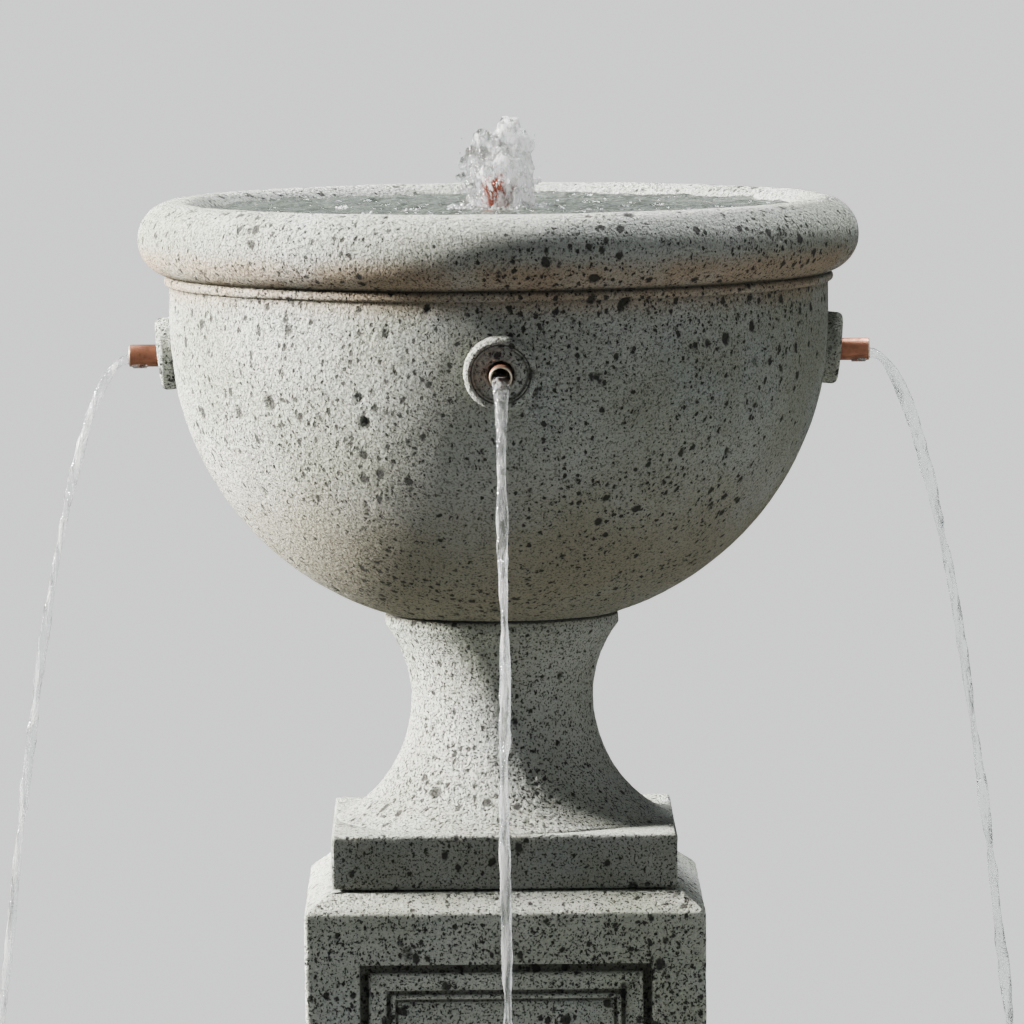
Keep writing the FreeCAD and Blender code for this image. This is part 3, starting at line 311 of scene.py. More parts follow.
def sampled(corners, spacing, closed=True):
    # points along a half section; a corner is (radius, height, arc radius, spacing), the last two optional
    points = [] if closed else [corners[0][:2]]
    for i in range(0 if closed else 1, len(corners)):
        start, end = np.array(corners[i - 1][:2], float), np.array(corners[i][:2], float)
        arc = corners[i][2] if len(corners[i]) > 2 else 0
        step = corners[i][3] if len(corners[i]) > 3 else spacing
        chord = end - start
        length = np.hypot(*chord)
        if arc == 0:
            count = max(1, round(length / step))
            points += [tuple(start + chord * k / count) for k in range(1, count + 1)]
            continue
        left = np.array((-chord[1], chord[0])) / length * math.copysign(1, arc)
        centre = (start + end) / 2 + left * math.sqrt(max(arc**2 - length**2 / 4, 0))
        turn = 2 * math.asin(min(1, length / 2 / abs(arc))) * math.copysign(1, arc)
        count = max(2, round(abs(turn * arc) / step))
        spoke = start - centre
        for k in range(1, count + 1):
            c, s = math.cos(turn * k / count), math.sin(turn * k / count)
            points.append((centre[0] + c * spoke[0] - s * spoke[1], centre[1] + s * spoke[0] + c * spoke[1]))
    return points


def lathe(name, section, columns, base=0.0, closed=True, turn=None):
    angles = np.linspace(0, 2 * math.pi, columns, endpoint=False)
    rings = []
    for radius, height in section:
        if radius < 0.001:
            ring = np.array([[0, 0, height + base]])
        else:
            level = np.full(columns, height + base)
            ring = np.stack((np.cos(angles) * radius, np.sin(angles) * radius, level), 1)
        if turn is not None:
            ring = np.array([turn @ Vector(point) for point in ring])
        rings.append(ring)
    return skin(name, rings, closed)


def applied(piece):
    graph = bpy.context.evaluated_depsgraph_get()
    shown = piece.evaluated_get(graph)
    mesh = bpy.data.meshes.new_from_object(shown, preserve_all_data_layers=True, depsgraph=graph)
    piece.modifiers.clear()
    old, piece.data = piece.data, mesh
    bpy.data.meshes.remove(old)
    mesh.name = piece.name
    mesh.polygons.foreach_set("use_smooth", [True] * len(mesh.polygons))
    return piece


def throughTree(piece, tree, values):
    modifier = piece.modifiers.new(tree.name, "NODES")
    modifier.node_group = tree
    for item in tree.interface.items_tree:
        if item.in_out == "INPUT" and item.name in values:
            modifier[item.identifier] = values[item.name]
    return applied(piece)


def settle(piece, replaced=(), body=rootBody):
    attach(piece, body)
    if replaced:
        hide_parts(*replaced)
    return piece


castStone = stoneMaterial()
# the pedestal's stone is painted lighter to lift its faces out of their shade
shadeLiftedStone = stoneMaterial("Cast stone painted lighter", stone["pedestalShadeLift"])
weathering = stoneTree()
relief = {"Pit depth": 0.0016, "Unevenness": 0.0011, "Grain": 0.0006, "Finish": castStone}


def paintShadeAndMarks(piece, amount):
    # marks joints, grooves, cut ends and other darkened places for the materials, where joints and grooves
    # get painted shade; amount gives 0 to 1 at x, y, z
    paintedShadeAndMarks = piece.data.attributes.new("paintedShadeAndMarks", "FLOAT", "POINT")
    values = [amount(*(c / mm for c in vertex.co)) for vertex in piece.data.vertices]
    paintedShadeAndMarks.data.foreach_set("value", [min(1.0, max(0.0, value)) for value in values])


def darkLines(place, lines):
    # a line is (place of its middle, width, darkness)
    return sum(dark * math.exp(-(((place - middle) / wide) ** 2)) for middle, wide, dark in lines)


def stonePiece(piece, replaced, **changes):
    throughTree(piece, weathering, {**relief, **changes})
    return settle(piece, replaced)


# ---- bowl

bowl = {
    "columns": 500,
    "spacing": 2.8,
    "foot": 83.0,
    "wall": 233.7,
    "curveLevel": 205.0,
    "curve": 214.8,
    "beadBottom": 233.6,
    "beadTop": 240.82,
    "rim": 229.0,
    "rimTube": 26.6,
    "rimLevel": 267.0,
    "floor": 24.0,
    "floorRadius": 49.1,
    "inside": 183.5,
    "drain": 14.0,
}


def makeBowl():
    b = bowl
    bead = (b["beadTop"] - b["beadBottom"]) / 2
    inner = b["rim"] - b["rimTube"]
    section = sampled(
        [
            (b["drain"], 0, 0, 12),
            (b["foot"], 0, 0, 9),
            (b["wall"], b["curveLevel"], b["curve"]),
            (b["wall"], b["beadBottom"]),
            (b["wall"] + bead, b["beadBottom"] + bead, bead, 1.3),
            (b["wall"], b["beadTop"], bead, 1.3),
            (b["rim"] + b["rimTube"], b["rimLevel"], b["rimTube"]),
            (b["rim"], b["rimLevel"] + b["rimTube"], b["rimTube"]),
            (inner, b["rimLevel"], b["rimTube"], 3.5),
            (inner, b["curveLevel"], 0, 10),
            (b["floorRadius"], b["floor"], -b["inside"], 14),
            (b["drain"], b["floor"], 0, 12),
        ],
        b["spacing"],
    )
    base = heightOf("bowl")
    piece = lathe("bowl_stone", section, b["columns"], base)

    # painted shade along the bead's two concave joints
    def joint(x, y, z):
        if math.hypot(x, y) < b["wall"] - 6:
            return 0.0
        return darkLines(z - base, [(b["beadBottom"] - 0.8, 1.3, 0.9), (b["beadTop"] + 0.6, 1.6, 1.0)])

    paintShadeAndMarks(piece, joint)
    return stonePiece(piece, ["bowl"])


makeBowl()
print("bowl made")

# ---- rosettes and spout tubes

rosette = {
    "columns": 150,
    "spacing": 0.9,
    "bore": 9.3,
    "radius": 25.6,
    "back": 3.0,
    "depth": 14.0,
    "reach": 228.0,
    "tilt": 5.6,
    "rise": 2.0,
    # painted shade in the grooves: distance in from the widest radius, width, darkness
    "grooves": [(5.1, 0.5, 1.0), (7.3, 0.6, 0.9)],
    "relief": {"Pit depth": 0.0008, "Unevenness": 0.0008, "Grain": 0.0005},
}
spout = {"radius": 7.95, "bore": 6.35, "length": 71.7, "columns": 64, "lip": 0.45}


def spoutLevel():
    low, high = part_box("spout_tube_front")
    return (low[2] + high[2]) / 2 / mm


def outward(angle, tilt, reach, level):
    # from a piece's own upright axis to one that points outward at that angle
    spin = Matrix.Rotation(math.radians(angle), 4, "Z")
    return spin @ Matrix.Translation((reach, 0, level)) @ Matrix.Rotation(math.radians(90 + tilt), 4, "Y")


def makeRosette(side, angle):
    s = rosette
    top = s["depth"]
    section = sampled(
        [
            (s["bore"], s["back"], 0, 6),
            (s["radius"], s["back"], 0, 4),
            (s["radius"], top - 5.0),
            (s["radius"] - 3.3, top, 4.6, 0.7),
            (s["radius"] - 4.7, top - 0.2, 0, 0.4),
            (s["radius"] - 5.1, top - 2.0, 0, 0.4),
            (s["radius"] - 5.7, top - 0.6, 0, 0.4),
            (s["radius"] - 6.5, top - 0.6, 0, 0.4),
            (s["radius"] - 7.0, top - 2.4, 0, 0.4),
            (s["bore"] + 1.6, top - 0.2),
            (s["bore"], top - 1.4, 0, 0.7),
        ],
        s["spacing"],
    )
    turn = outward(angle, s["tilt"], s["reach"], spoutLevel() + s["rise"])
    piece = lathe("rosette_stone_" + side, section, s["columns"], turn=turn)
    upright = turn.inverted()

    def groove(x, y, z):
        place = upright @ Vector((x, y, z))
        if place.z <= top - 3:
            return 0.0
        return darkLines(s["radius"] - math.hypot(place.x, place.y), s["grooves"])

    paintShadeAndMarks(piece, groove)
    return stonePiece(piece, ["rosette_" + side], **s["relief"])


def makeSpoutTube(side, angle, metal):
    s = spout
    lip = s["lip"]
    middle = (s["radius"] + s["bore"]) / 2
    half = (s["radius"] - s["bore"]) / 2
    section = sampled(
        [
            (s["bore"], 0, 0, 3),
            (s["radius"], 0, 0, 1),
            (s["radius"], s["length"] - 3, 0, 2),
            (s["radius"] - 0.12, s["length"] - lip, 0, 0.8),
            (middle, s["length"], half, 0.25),
            (s["bore"] + 0.05, s["length"] - lip, half, 0.25),
            (s["bore"], s["length"] - 3, 0, 0.8),
        ],
        2.0,
    )
    start = abs(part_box("spout_tube_right")[0][0]) / mm
    piece = lathe("copper_spout_" + side, section, s["columns"], turn=outward(angle, 0, start, spoutLevel()))
    paintShadeAndMarks(piece, lambda x, y, z: 2 * (math.hypot(x, y) - start - s["length"] + 0.8))
    piece.data.materials.append(metal)
    return settle(piece, ["spout_tube_" + side])


def metalMaterial(name, base, dark, roughness, patch, scratch, spots=None, edge=None):
    made, tree, at = newMaterial(name)
    worn = rangeOf(tree, noiseOf(tree, at, patch, 5.0, 0.65), 0.35, 0.68)
    colour = blendOf(tree, worn, base, dark)
    if spots:
        mask = rangeOf(tree, noiseOf(tree, at, patch * 5, 3.0, 0.7), 0.60, 0.74, 0.0, 0.7)
        colour = blendOf(tree, mask, colour, spots)
    if edge:
        ends = wire(tree, "ShaderNodeAttribute", attribute_name="paintedShadeAndMarks").outputs["Fac"]
        colour = blendOf(tree, ends, colour, edge)
    lines = noiseOf(tree, stretched(tree, at, (900, 900, 30)), 1.0, 3.0, 0.6)
    rough = weighed(tree, worn, 0.22, lines, 0.12)
    rough = calc(tree, "ADD", rough, roughness - 0.1, clamp=True)
    dents = weighed(tree, lines, 0.00016 * scratch, noiseOf(tree, at, 220, 4.0), 0.001 * scratch)
    inputs = {"Base Color": colour, "Metallic": 1.0, "Roughness": rough}
    return closeMaterial(made, {**inputs, "Normal": bumpOf(tree, 0.6, dents)})


brown, darkBrown = rgb(0.27, 0.115, 0.07), rgb(0.14, 0.062, 0.042)
spots, edge = rgb(0.09, 0.055, 0.045), rgb(0.34, 0.30, 0.23)
copper = metalMaterial("Browned copper", brown, darkBrown, 0.46, 60, 0.4, spots, edge)
redCopper = metalMaterial("Red copper", rgb(0.24, 0.06, 0.035), rgb(0.12, 0.035, 0.025), 0.4, 60, 0.4)
for side, angle in sides.items():
    makeRosette(side, angle)
    makeSpoutTube(side, angle, copper)
print("rosettes and spouts made")

# ---- square pieces: rings that follow a rounded square

plinth = {
    "half": 121.25,
    "height": 38.5,
    "edge": 2.2,
    "core": 26.0,
    "spacing": 2.7,
    "sideDarkening": 0.34,
    "grain": 0.0011,
}
neck = {
    "columns": 330,
    "flare": 118.8,
    "flareCurve": 94.4,
    "waist": 64.8,
    "waistLevel": 123.8,
    "neckCurve": 85.1,
    "top": 83.0,
    "bandLevel": 176.4,
    "height": 183.3,
    "core": 26.0,
    "spacing": 2.3,
}


def squareRing(across, half, level, edge, keep, inward=None):
    # across: places along one side, measured from its middle on a side of the widest ring
    widest = max(across)
    points = []
    for quarter in range(4):
        c, s = math.cos(quarter * math.pi / 2), math.sin(quarter * math.pi / 2)
        for u in across[:-1]:
            beyond = abs(u) - keep
            if beyond > 0:
                u = math.copysign(keep + beyond * (half - keep) / (widest - keep), u)
            x, y = u, -half
            reach = abs(x) - (half - edge)
            if edge > 0 and reach > 0:
                length = math.hypot(reach, edge)
                x = math.copysign(half - edge + reach / length * edge, x)
                y = -(half - edge + edge / length * edge)
            z = level
            if inward is not None:
                deep, z = inward(u, level)
                y += deep
            points.append((c * x - s * y, s * x + c * y, z))
    return points


def roundRing(across, half, radius, level):
    ring = squareRing(across, half, level, 0, 0)
    return [(x * radius / math.hypot(x, y), y * radius / math.hypot(x, y), z) for x, y, z in ring]


def steps(low, high, spacing):
    count = max(1, round((high - low) / spacing))
    return [low + (high - low) * i / count for i in range(count)]


def makeFoot():
    p, n = plinth, neck
    base = heightOf("foot")
    half, edge, top = p["half"], p["edge"], p["height"]
    across = [-half, -half + 0.7, -half + 1.5] + steps(-half + 2.3, half - 2.3, p["spacing"])
    across += [half - 2.3, half - 1.5, half - 0.7, half]
    rows = [(half - edge, 0), (half - edge * 0.3, edge * 0.3), (half, edge)]
    rows += [(half, z) for z in steps(edge, top - edge, p["spacing"])[1:]]
    rows += [(half, top - edge), (half - edge * 0.3, top - edge * 0.3), (half - edge, top)]
    rows += [(h, top) for h in steps(85, half - edge, p["spacing"])[::-1]]
    rings = [squareRing(across, h, base + z, edge, 0) for h, z in rows]
    rings += [roundRing(across, half, p["core"], base + top), roundRing(across, half, p["core"], base)]
    block = skin("foot_stone", rings)
    section = sampled(
        [
            (n["core"], top - 2.5, 0, 20),
            (n["flare"] - 1, top - 2.5, 0, 8),
            (n["flare"], top, 0, 2),
            (n["waist"], n["waistLevel"], -n["flareCurve"]),
            (n["top"], n["bandLevel"], -n["neckCurve"]),
            (n["top"], n["height"] - 1.0),
            (n["top"] - 1.0, n["height"], 1.0, 0.6),
            (n["core"], n["height"], 0, 12),
        ],
        n["spacing"],
    )
    turned = lathe("neck", section, n["columns"], base)
    joined = bmesh.new()
    joined.from_mesh(block.data)
    joined.from_mesh(turned.data)
    joined.to_mesh(block.data)
    joined.free()
    bpy.data.objects.remove(turned)

    # the plinth's outer sides are darkened
    def outerFaces(x, y, z):
        return p["sideDarkening"] if z < base + top - 1 and max(abs(x), abs(y)) > half - 1 else 0.0

    paintShadeAndMarks(block, outerFaces)
    return stonePiece(block, ["foot"], Grain=p["grain"])


makeFoot()
print("foot made")

# ---- pedestal

pedestal = {
    "height": 620.0,
    "half": 140.3,
    "baseHalf": 156.0,
    "baseHeight": 172.0,
    "slope": 12.0,
    "topHalf": 124.0,
    "topSlope": 12.5,
    "edge": 2.6,
    "cavityHalf": 98.0,
    "cavityTop": 572.0,
    "hole": 45.0,
    "notchHalf": 35.0,
    "notchStraight": 15.0,
    "panelHalf": 102.25,
    "panelTop": 571.2,
    "panelBottom": 221.2,
    "spacing": 4.2,
    # how deep the panel lies, at each distance in from its edge
    "relief": [
        (0.0, 0.0), (0.7, 7.4), (3.4, 8.0), (5.8, 7.8), (6.5, 3.2), (8.0, 2.4),
        (12.0, 2.6), (17.5, 3.9), (18.4, 4.6), (19.1, 6.9), (21.2, 7.2), (22.0, 4.4),
        (23.2, 3.8), (24.6, 4.2), (25.3, 6.9), (26.3, 7.0), (27.2, 5.5), (60.0, 5.2),
    ],
    "panelWidth": 28,
    "straight": 104,
    "mitreShade": 0.55,
    "mitreReach": 19,
    "grain": 0.0011,
}


def makePedestal():
    p = pedestal
    base = heightOf("pedestal")
    half, edge, panel = p["half"], p["edge"], p["panelHalf"]
    ins, depths = zip(*p["relief"])
    cuts = sorted(set(list(ins[:-1]) + [10.0, 14.8]))
    notch = [p["notchHalf"] * math.sin(math.radians(a)) for a in range(0, 91, 10)] + [p["notchHalf"] + 0.6]
    right = notch + steps(notch[-1] + 3, panel - p["panelWidth"], p["spacing"])[1:]
    right += [panel - c for c in cuts[::-1]]
    right += steps(panel, half - 5, p["spacing"])[1:]
    right += [half - 4, half - edge, half - edge * 0.62, half - edge * 0.3, half]
    across = [-u for u in right[::-1]] + right[1:]

    def shape(u, level):
        z = level - base
        inside = min(panel - abs(u), p["panelTop"] - z, z - p["panelBottom"])
        deep = float(np.interp(inside, ins, depths)) if inside > 0 else 0.0
        return deep, level

    def arched(u, level):
        z = level - base
        arch = 0.0
        if abs(u) <= p["notchHalf"] + 0.01:
            arch = p["notchStraight"] + math.sqrt(max(p["notchHalf"] ** 2 - u * u, 0))
        return 0.0, base + arch + z * (1 - arch / p["baseHeight"])

    def ring(width, level, inward=None, straight=p["straight"]):
        return squareRing(across, width, level, edge, straight, inward)

    bh, sl, h, ts = p["baseHeight"], p["slope"], p["height"], p["topSlope"]
    wide = p["baseHalf"]
    rings = [ring(wide, base + z, arched) for z in steps(0, bh - 2, 5.0)]
    rings += [ring(wide - d, base + z) for d, z in ((0, bh - 1.6), (0.5, bh - 0.5), (1.6, bh))]
    rings += [ring(wide - (wide - half) * t, base + bh + sl * t) for t in (0.2, 0.4, 0.6, 0.8, 1)]
    levels = steps(bh + sl + 3, p["panelBottom"], p["spacing"]) + [p["panelBottom"] + c for c in cuts]
    levels += steps(p["panelBottom"] + p["panelWidth"], p["panelTop"] - p["panelWidth"], p["spacing"])[1:]
    levels += [p["panelTop"] - c for c in cuts[::-1]] + steps(p["panelTop"], h - ts - 2.5, 3.0)[1:]
    rings += [ring(half, base + z, shape) for z in levels]
    top = h - ts
    bevel = [(0, top - 2.4), (0.15, top - 1.2), (0.8, top + 0.2)]
    rings += [ring(half - d, base + z) for d, z in bevel]
    slant = half - p["topHalf"]
    rings += [ring(half - slant * t, base + top + ts * t) for t in (0.2, 0.36, 0.52, 0.68, 0.84)]
    rings += [ring(half - slant - d, base + z) for d, z in ((-0.9, h - 0.7), (1.0, h))]
    rings += [ring(half - slant - d, base + h, straight=100) for d in (4, 8, 20)]
    rings += [roundRing(across, half, p["hole"], base + z) for z in (h, p["cavityTop"])]
    inner = p["cavityHalf"]
    rings += [squareRing(across, inner, base + z, 1.0, 40) for z in steps(bh, p["cavityTop"], 50)[::-1]]
    rings += [squareRing(across, inner, base + z, 1.0, 40, arched) for z in steps(0, bh, 22)[::-1]]
    piece = skin("pedestal_stone", rings)

    # painted shade, darker deeper into the panel's recess and along its mitres
    def groove(x, y, z):
        u, out = (x, abs(y)) if abs(y) > abs(x) else (y, abs(x))
        across, up = panel - abs(u), min(p["panelTop"] - z + base, z - base - p["panelBottom"])
        inside = min(across, up)
        if inside <= 0:
            return 0.0
        mitre = darkLines(across - up, [(0, 1.3, p["mitreShade"])]) if inside < p["mitreReach"] else 0.0
        return max((half - out - 5.9) / 1.1, mitre)

    paintShadeAndMarks(piece, groove)
    return stonePiece(piece, ["pedestal"], Grain=p["grain"], Finish=shadeLiftedStone)


makePedestal()
print("pedestal made")

# ---- pool

pool = {
    "columns": 560,
    "spacing": 4.2,
    "foot": 400.0,
    "footHeight": 28.0,
    "cove": 12.0,
    "wall": 480.0,
    "bellyTop": 178.0,
    "belly": 230.0,
    "beadBottom": 196.0,
    "beadTop": 203.13,
    "rim": 477.5,
    "rimTube": 24.0,
    "rimLevel": 227.0,
    "thickness": 30.0,
    "floor": 45.0,
    "floorRadius": 340.0,
    "inside": 200.0,
    "drain": 12.7,
    "recess": 20.0,
    "recessDepth": 4.0,
    "pitDepth": 0.0018,
    "cutTop": 90,
    "cutBottom": -20,
}


def makePool():
    p = pool
    bead = (p["beadTop"] - p["beadBottom"]) / 2
    section = sampled(
        [
            (0, 0),
            (p["foot"] - 2, 0, 0, 60),
            (p["foot"], 2, 2, 1),
            (p["foot"], p["footHeight"] - 2),
            (p["foot"] - 2, p["footHeight"], 2, 1),
            (p["foot"] - p["cove"], p["footHeight"] + p["cove"] - 2, -p["cove"], 2),
            (p["wall"], p["bellyTop"], p["belly"]),
            (p["wall"], p["beadBottom"]),
            (p["wall"] + bead, p["beadBottom"] + bead, bead, 1.4),
            (p["wall"], p["beadTop"], bead, 1.4),
            (p["rim"] + p["rimTube"], p["rimLevel"], p["rimTube"]),
            (p["rim"], p["rimLevel"] + p["rimTube"], p["rimTube"]),
            (p["rim"] - p["rimTube"], p["rimLevel"], p["rimTube"]),
            (p["wall"] - p["thickness"], p["bellyTop"], 0, 6),
            (p["floorRadius"], p["floor"], -p["inside"], 7),
            (0, p["floor"], 0, 13),
        ],
        p["spacing"],
        closed=False,
    )
    piece = lathe("pool_stone", section, p["columns"], closed=False)
    throughTree(piece, weathering, {**relief, "Pit depth": p["pitDepth"]})
    low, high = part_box("drain_stopper")
    x, y = (low[0] + high[0]) / 2, (low[1] + high[1]) / 2
    top, recessFloor = p["cutTop"], p["floor"] - p["recessDepth"] - 0.3
    for radius, bottom in ((p["drain"], p["cutBottom"]), (p["recess"], recessFloor)):
        cutter = lathe("cutter", [(0, bottom), (radius, bottom), (radius, top), (0, top)], 48, closed=False)
        cutter.data.transform(Matrix.Translation((x, y, 0)))
        hole = piece.modifiers.new("hole", "BOOLEAN")
        hole.object, hole.operation, hole.solver = cutter, "DIFFERENCE", "EXACT"
        bpy.context.view_layer.update()
        applied(piece)
        bpy.data.objects.remove(cutter)
    return settle(piece, ["pool"])


makePool()
print("pool made")

# ---- finishes for the pipes, valve and pump


def plasticMaterial(name, base, worn, roughness, grain, depth=0.00008, blotch=25):
    made, tree, at = newMaterial(name)
    patch = rangeOf(tree, noiseOf(tree, at, blotch, 5.0, 0.6), 0.4, 0.7)
    speck = noiseOf(tree, at, grain, 2.0, 0.6)
    colour = blendOf(tree, patch, base, worn)
    rough = weighed(tree, patch, 0.15, speck, 0.12)
    rough = calc(tree, "ADD", rough, roughness - 0.1, clamp=True)
    bump = bumpOf(tree, 0.7, calc(tree, "MULTIPLY", speck, depth))
    return closeMaterial(made, {"Base Color": colour, "Roughness": rough, "Normal": bump})


rubber = plasticMaterial("Black rubber", rgb(0.018, 0.018, 0.018), rgb(0.05, 0.05, 0.045), 0.62, 700)
hose = plasticMaterial("Hose rubber", rgb(0.022, 0.024, 0.022), rgb(0.055, 0.06, 0.05), 0.5, 420, 0.00015)
black, wornBlack = rgb(0.02, 0.024, 0.028), rgb(0.05, 0.055, 0.055)
pumpShell = plasticMaterial("Pump plastic", black, wornBlack, 0.42, 1600, 0.00006)
seatRing = plasticMaterial("White seat ring", rgb(0.78, 0.77, 0.72), rgb(0.6, 0.58, 0.5), 0.35, 500, 0.00003)
ferrite = plasticMaterial("Ferrite", rgb(0.035, 0.033, 0.033), rgb(0.07, 0.06, 0.055), 0.5, 1300, 0.0001)
red, wornRed = rgb(0.35, 0.03, 0.02), rgb(0.22, 0.035, 0.025)
leverCoat = plasticMaterial("Red lever coat", red, wornRed, 0.35, 900, 0.00005, 60)
yellow, dullYellow, brassSpots = rgb(0.62, 0.43, 0.17), rgb(0.33, 0.22, 0.09), rgb(0.13, 0.12, 0.07)
brass = metalMaterial("Dull brass", yellow, dullYellow, 0.4, 70, 0.3, brassSpots)
steel = metalMaterial("Stainless steel", rgb(0.60, 0.60, 0.58), rgb(0.38, 0.37, 0.35), 0.34, 50, 0.25)
chrome = metalMaterial("Chromed brass", rgb(0.78, 0.79, 0.80), rgb(0.66, 0.67, 0.68), 0.14, 40, 0.05)

finishes = {
    copper: ["spout_elbow_", "standpipe_", "nozzle_riser"],
    rubber: ["plinth_pads", "bowl_gasket", "spout_seal_", "bulkhead_washer", "drain_stopper", "pump_feet"],
    brass: ["bulkhead", "bulkhead_locknut", "hose_barb", "valve_body", "valve_cap", "valve_stem"],
    hose: ["hose_lower", "hose_upper"],
    steel: ["hose_clamp", "valve_lever_nut", "pump_shaft"],
    chrome: ["valve_ball"],
    leverCoat: ["valve_lever"],
    seatRing: ["valve_seats"],
    ferrite: ["rotor_magnet"],
    pumpShell: ["impeller", "pump_housing", "pump_volute", "pump_strainer", "flow_dial", "cable_gland"],
}


def finishNode(name, node):
    # the longest start that fits the name decides
    pairs = [(start, finish) for finish, starts in finishes.items() for start in starts]
    fits = {start: finish for start, finish in pairs if name.startswith(start)}
    finish = fits[max(fits, key=len)] if fits else castStone
    for place in node.material_slots:
        place.material = finish


for name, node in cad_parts.items():
    finishNode(name, node)
print("finishes set")

# ---- riser tip, rounded at its lip

riser = {"radius": 7.95, "bore": 6.35, "bead": 8.95, "tip": 30.0, "columns": 64}


def makeRiser():
    r = riser
    low, top = heightOf("nozzle_riser"), heightOf("nozzle_riser", top=True)
    section = sampled(
        [
            (r["bore"], low, 0, 6),
            (r["radius"], low, 0, 1),
            (r["radius"], top - r["tip"] - 2, 0, 6),
            (r["bead"], top - r["tip"] - 1, 1, 0.3),
            (r["radius"], top - r["tip"], 1, 0.3),
            (r["radius"], top - 0.5, 0, 4),
            ((r["radius"] + r["bore"]) / 2, top, 0.8, 0.2),
            (r["bore"], top - 0.5, 0.8, 0.2),
        ],
        2.0,
    )
    piece = lathe("copper_riser", section, r["columns"])
    piece.data.materials.append(redCopper)
    settle(piece, ["nozzle_riser"])


makeRiser()

# ---- water

water = {
    "bowlLevel": 1137.9,
    "bowlEdge": 212.2,
    "poolLevel": 205.0,
    "poolEdge": 453.2,
    "bowlDepth": 5.0,
    "poolDepth": 4.0,
    "bowlRings": 84,
    "poolRings": 130,
    "bowlColumns": 300,
    "poolColumns": 400,
    "bowlRough": 1.9,
    "poolRough": 1.0,
    # x, y, height, wave length and reach of each set of ripples
    "bowlRipples": [(0, 0, 1.7, 21, 60), (-62, -40, 0.5, 13, 30), (70, 60, 0.5, 15, 30)],
    "landingRipple": (2.2, 19, 55),
    "jetTop": 1202.2,
    "streamLevel": 1032.6,
    "fall": 19.9,
    "wide": 6.1,
    "narrow": 3.0,
    "taper": 42,
}


def waterMaterial(name, tint, facing, grazing, roughness):
    # a still surface: see-through from above, close to opaque from low down
    made, tree, at = newMaterial(name)
    patch = rangeOf(tree, noiseOf(tree, at, 22, 4.0), 0.35, 0.7)
    colour = blendOf(tree, patch, tint, rgb(*(c * 1.7 for c in tint[:3])))
    slope = wire(tree, "ShaderNodeLayerWeight", {"Blend": 0.5}).outputs["Facing"]
    alpha = rangeOf(tree, slope, 0.45, 0.95, facing, grazing, smooth=False)
    bump = bumpOf(tree, 0.5, calc(tree, "MULTIPLY", noiseOf(tree, at, 95, 2.0, 0.5), 0.011))
    inputs = {"Base Color": colour, "Roughness": roughness, "IOR": waterIndex, "Alpha": alpha, "Normal": bump}
    return closeMaterial(made, inputs)


def flowMaterial(name, clearest, whitest, scale, paintedLitSide=0.0):
    # moving water: clear in places, white with air in others
    made, tree, at = newMaterial(name)
    streaks = noiseOf(tree, stretched(tree, at, scale), 1.0, 4.0, 0.6)
    across = wire(tree, "ShaderNodeSeparateXYZ", {0: at}).outputs[0]
    # painted light: with a lit side set, the water turns whiter towards +x, the jet's right side
    paintedSideLight = calc(tree, "MULTIPLY", across, paintedLitSide)
    air = rangeOf(tree, calc(tree, "ADD", streaks, paintedSideLight), 0.42, 0.62)
    clear = rangeOf(tree, air, 0.0, 1.0, clearest, whitest, smooth=False)
    colour = blendOf(tree, air, rgb(0.93, 0.96, 0.96), rgb(0.97, 0.98, 0.98))
    rough = rangeOf(tree, air, 0.0, 1.0, 0.02, 0.12, smooth=False)
    height = weighed(tree, streaks, 0.0022, noiseOf(tree, at, 620, 2.0), 0.0009)
    inputs = {"Base Color": colour, "Roughness": rough, "IOR": waterIndex, "Transmission Weight": clear}
    inputs |= {"Subsurface Weight": 1.0, "Subsurface Radius": (1.0, 1.0, 1.0), "Subsurface Scale": 0.02}
    return closeMaterial(made, {**inputs, "Normal": bumpOf(tree, 0.8, height)})


waterIndex = 1.333
bowlWater = waterMaterial("Bowl water", rgb(0.03, 0.036, 0.028), 0.35, 0.97, 0.04)
poolWater = waterMaterial("Pool water", rgb(0.05, 0.065, 0.055), 0.25, 0.95, 0.04)
jetWater = flowMaterial("Jet water", 1.0, 0.58, (230, 230, 110), 4.5)
streamWater = flowMaterial("Falling water", 1.0, 0.80, (260, 260, 22))
froth = flowMaterial("Froth", 0.92, 0.45, (300, 300, 300))


def sprayTree():
    numbers = {"Density": 9000.0, "Smallest": 0.0005, "Largest": 0.0016, "Rise": 0.0}
    sockets = [(title, "Float", given) for title, given in numbers.items()]
    sockets += [("Seed", "Int", 1), ("Finish", "Material", None)]
    tree, given = geometryTree("Spray", sockets)

    def chance(seed, power):
        inputs = {2: 0.0, 3: 1.0, "Seed": seed}
        drawn = wire(tree, "FunctionNodeRandomValue", inputs, data_type="FLOAT")
        return calc(tree, "POWER", drawn.outputs[1], power)

    inputs = {"Mesh": given["Geometry"], "Density": given["Density"], "Seed": given["Seed"]}
    points = wire(tree, "GeometryNodeDistributePointsOnFaces", inputs).outputs["Points"]
    lift = calc(tree, "MULTIPLY", chance(7, 2.2), given["Rise"])
    offset = wire(tree, "ShaderNodeCombineXYZ", {"Z": lift}).outputs[0]
    raised = wire(tree, "GeometryNodeSetPosition", {"Geometry": points, "Offset": offset}).outputs[0]
    drop = wire(tree, "GeometryNodeMeshIcoSphere", {"Radius": 1.0, "Subdivisions": 1}).outputs[0]
    size = rangeOf(tree, chance(3, 2.5), 0.0, 1.0, given["Smallest"], given["Largest"], smooth=False)
    inputs = {"Points": raised, "Instance": drop, "Scale": size}
    placed = wire(tree, "GeometryNodeInstanceOnPoints", inputs).outputs[0]
    return closeTree(tree, placed, given["Finish"])


spray = sprayTree()


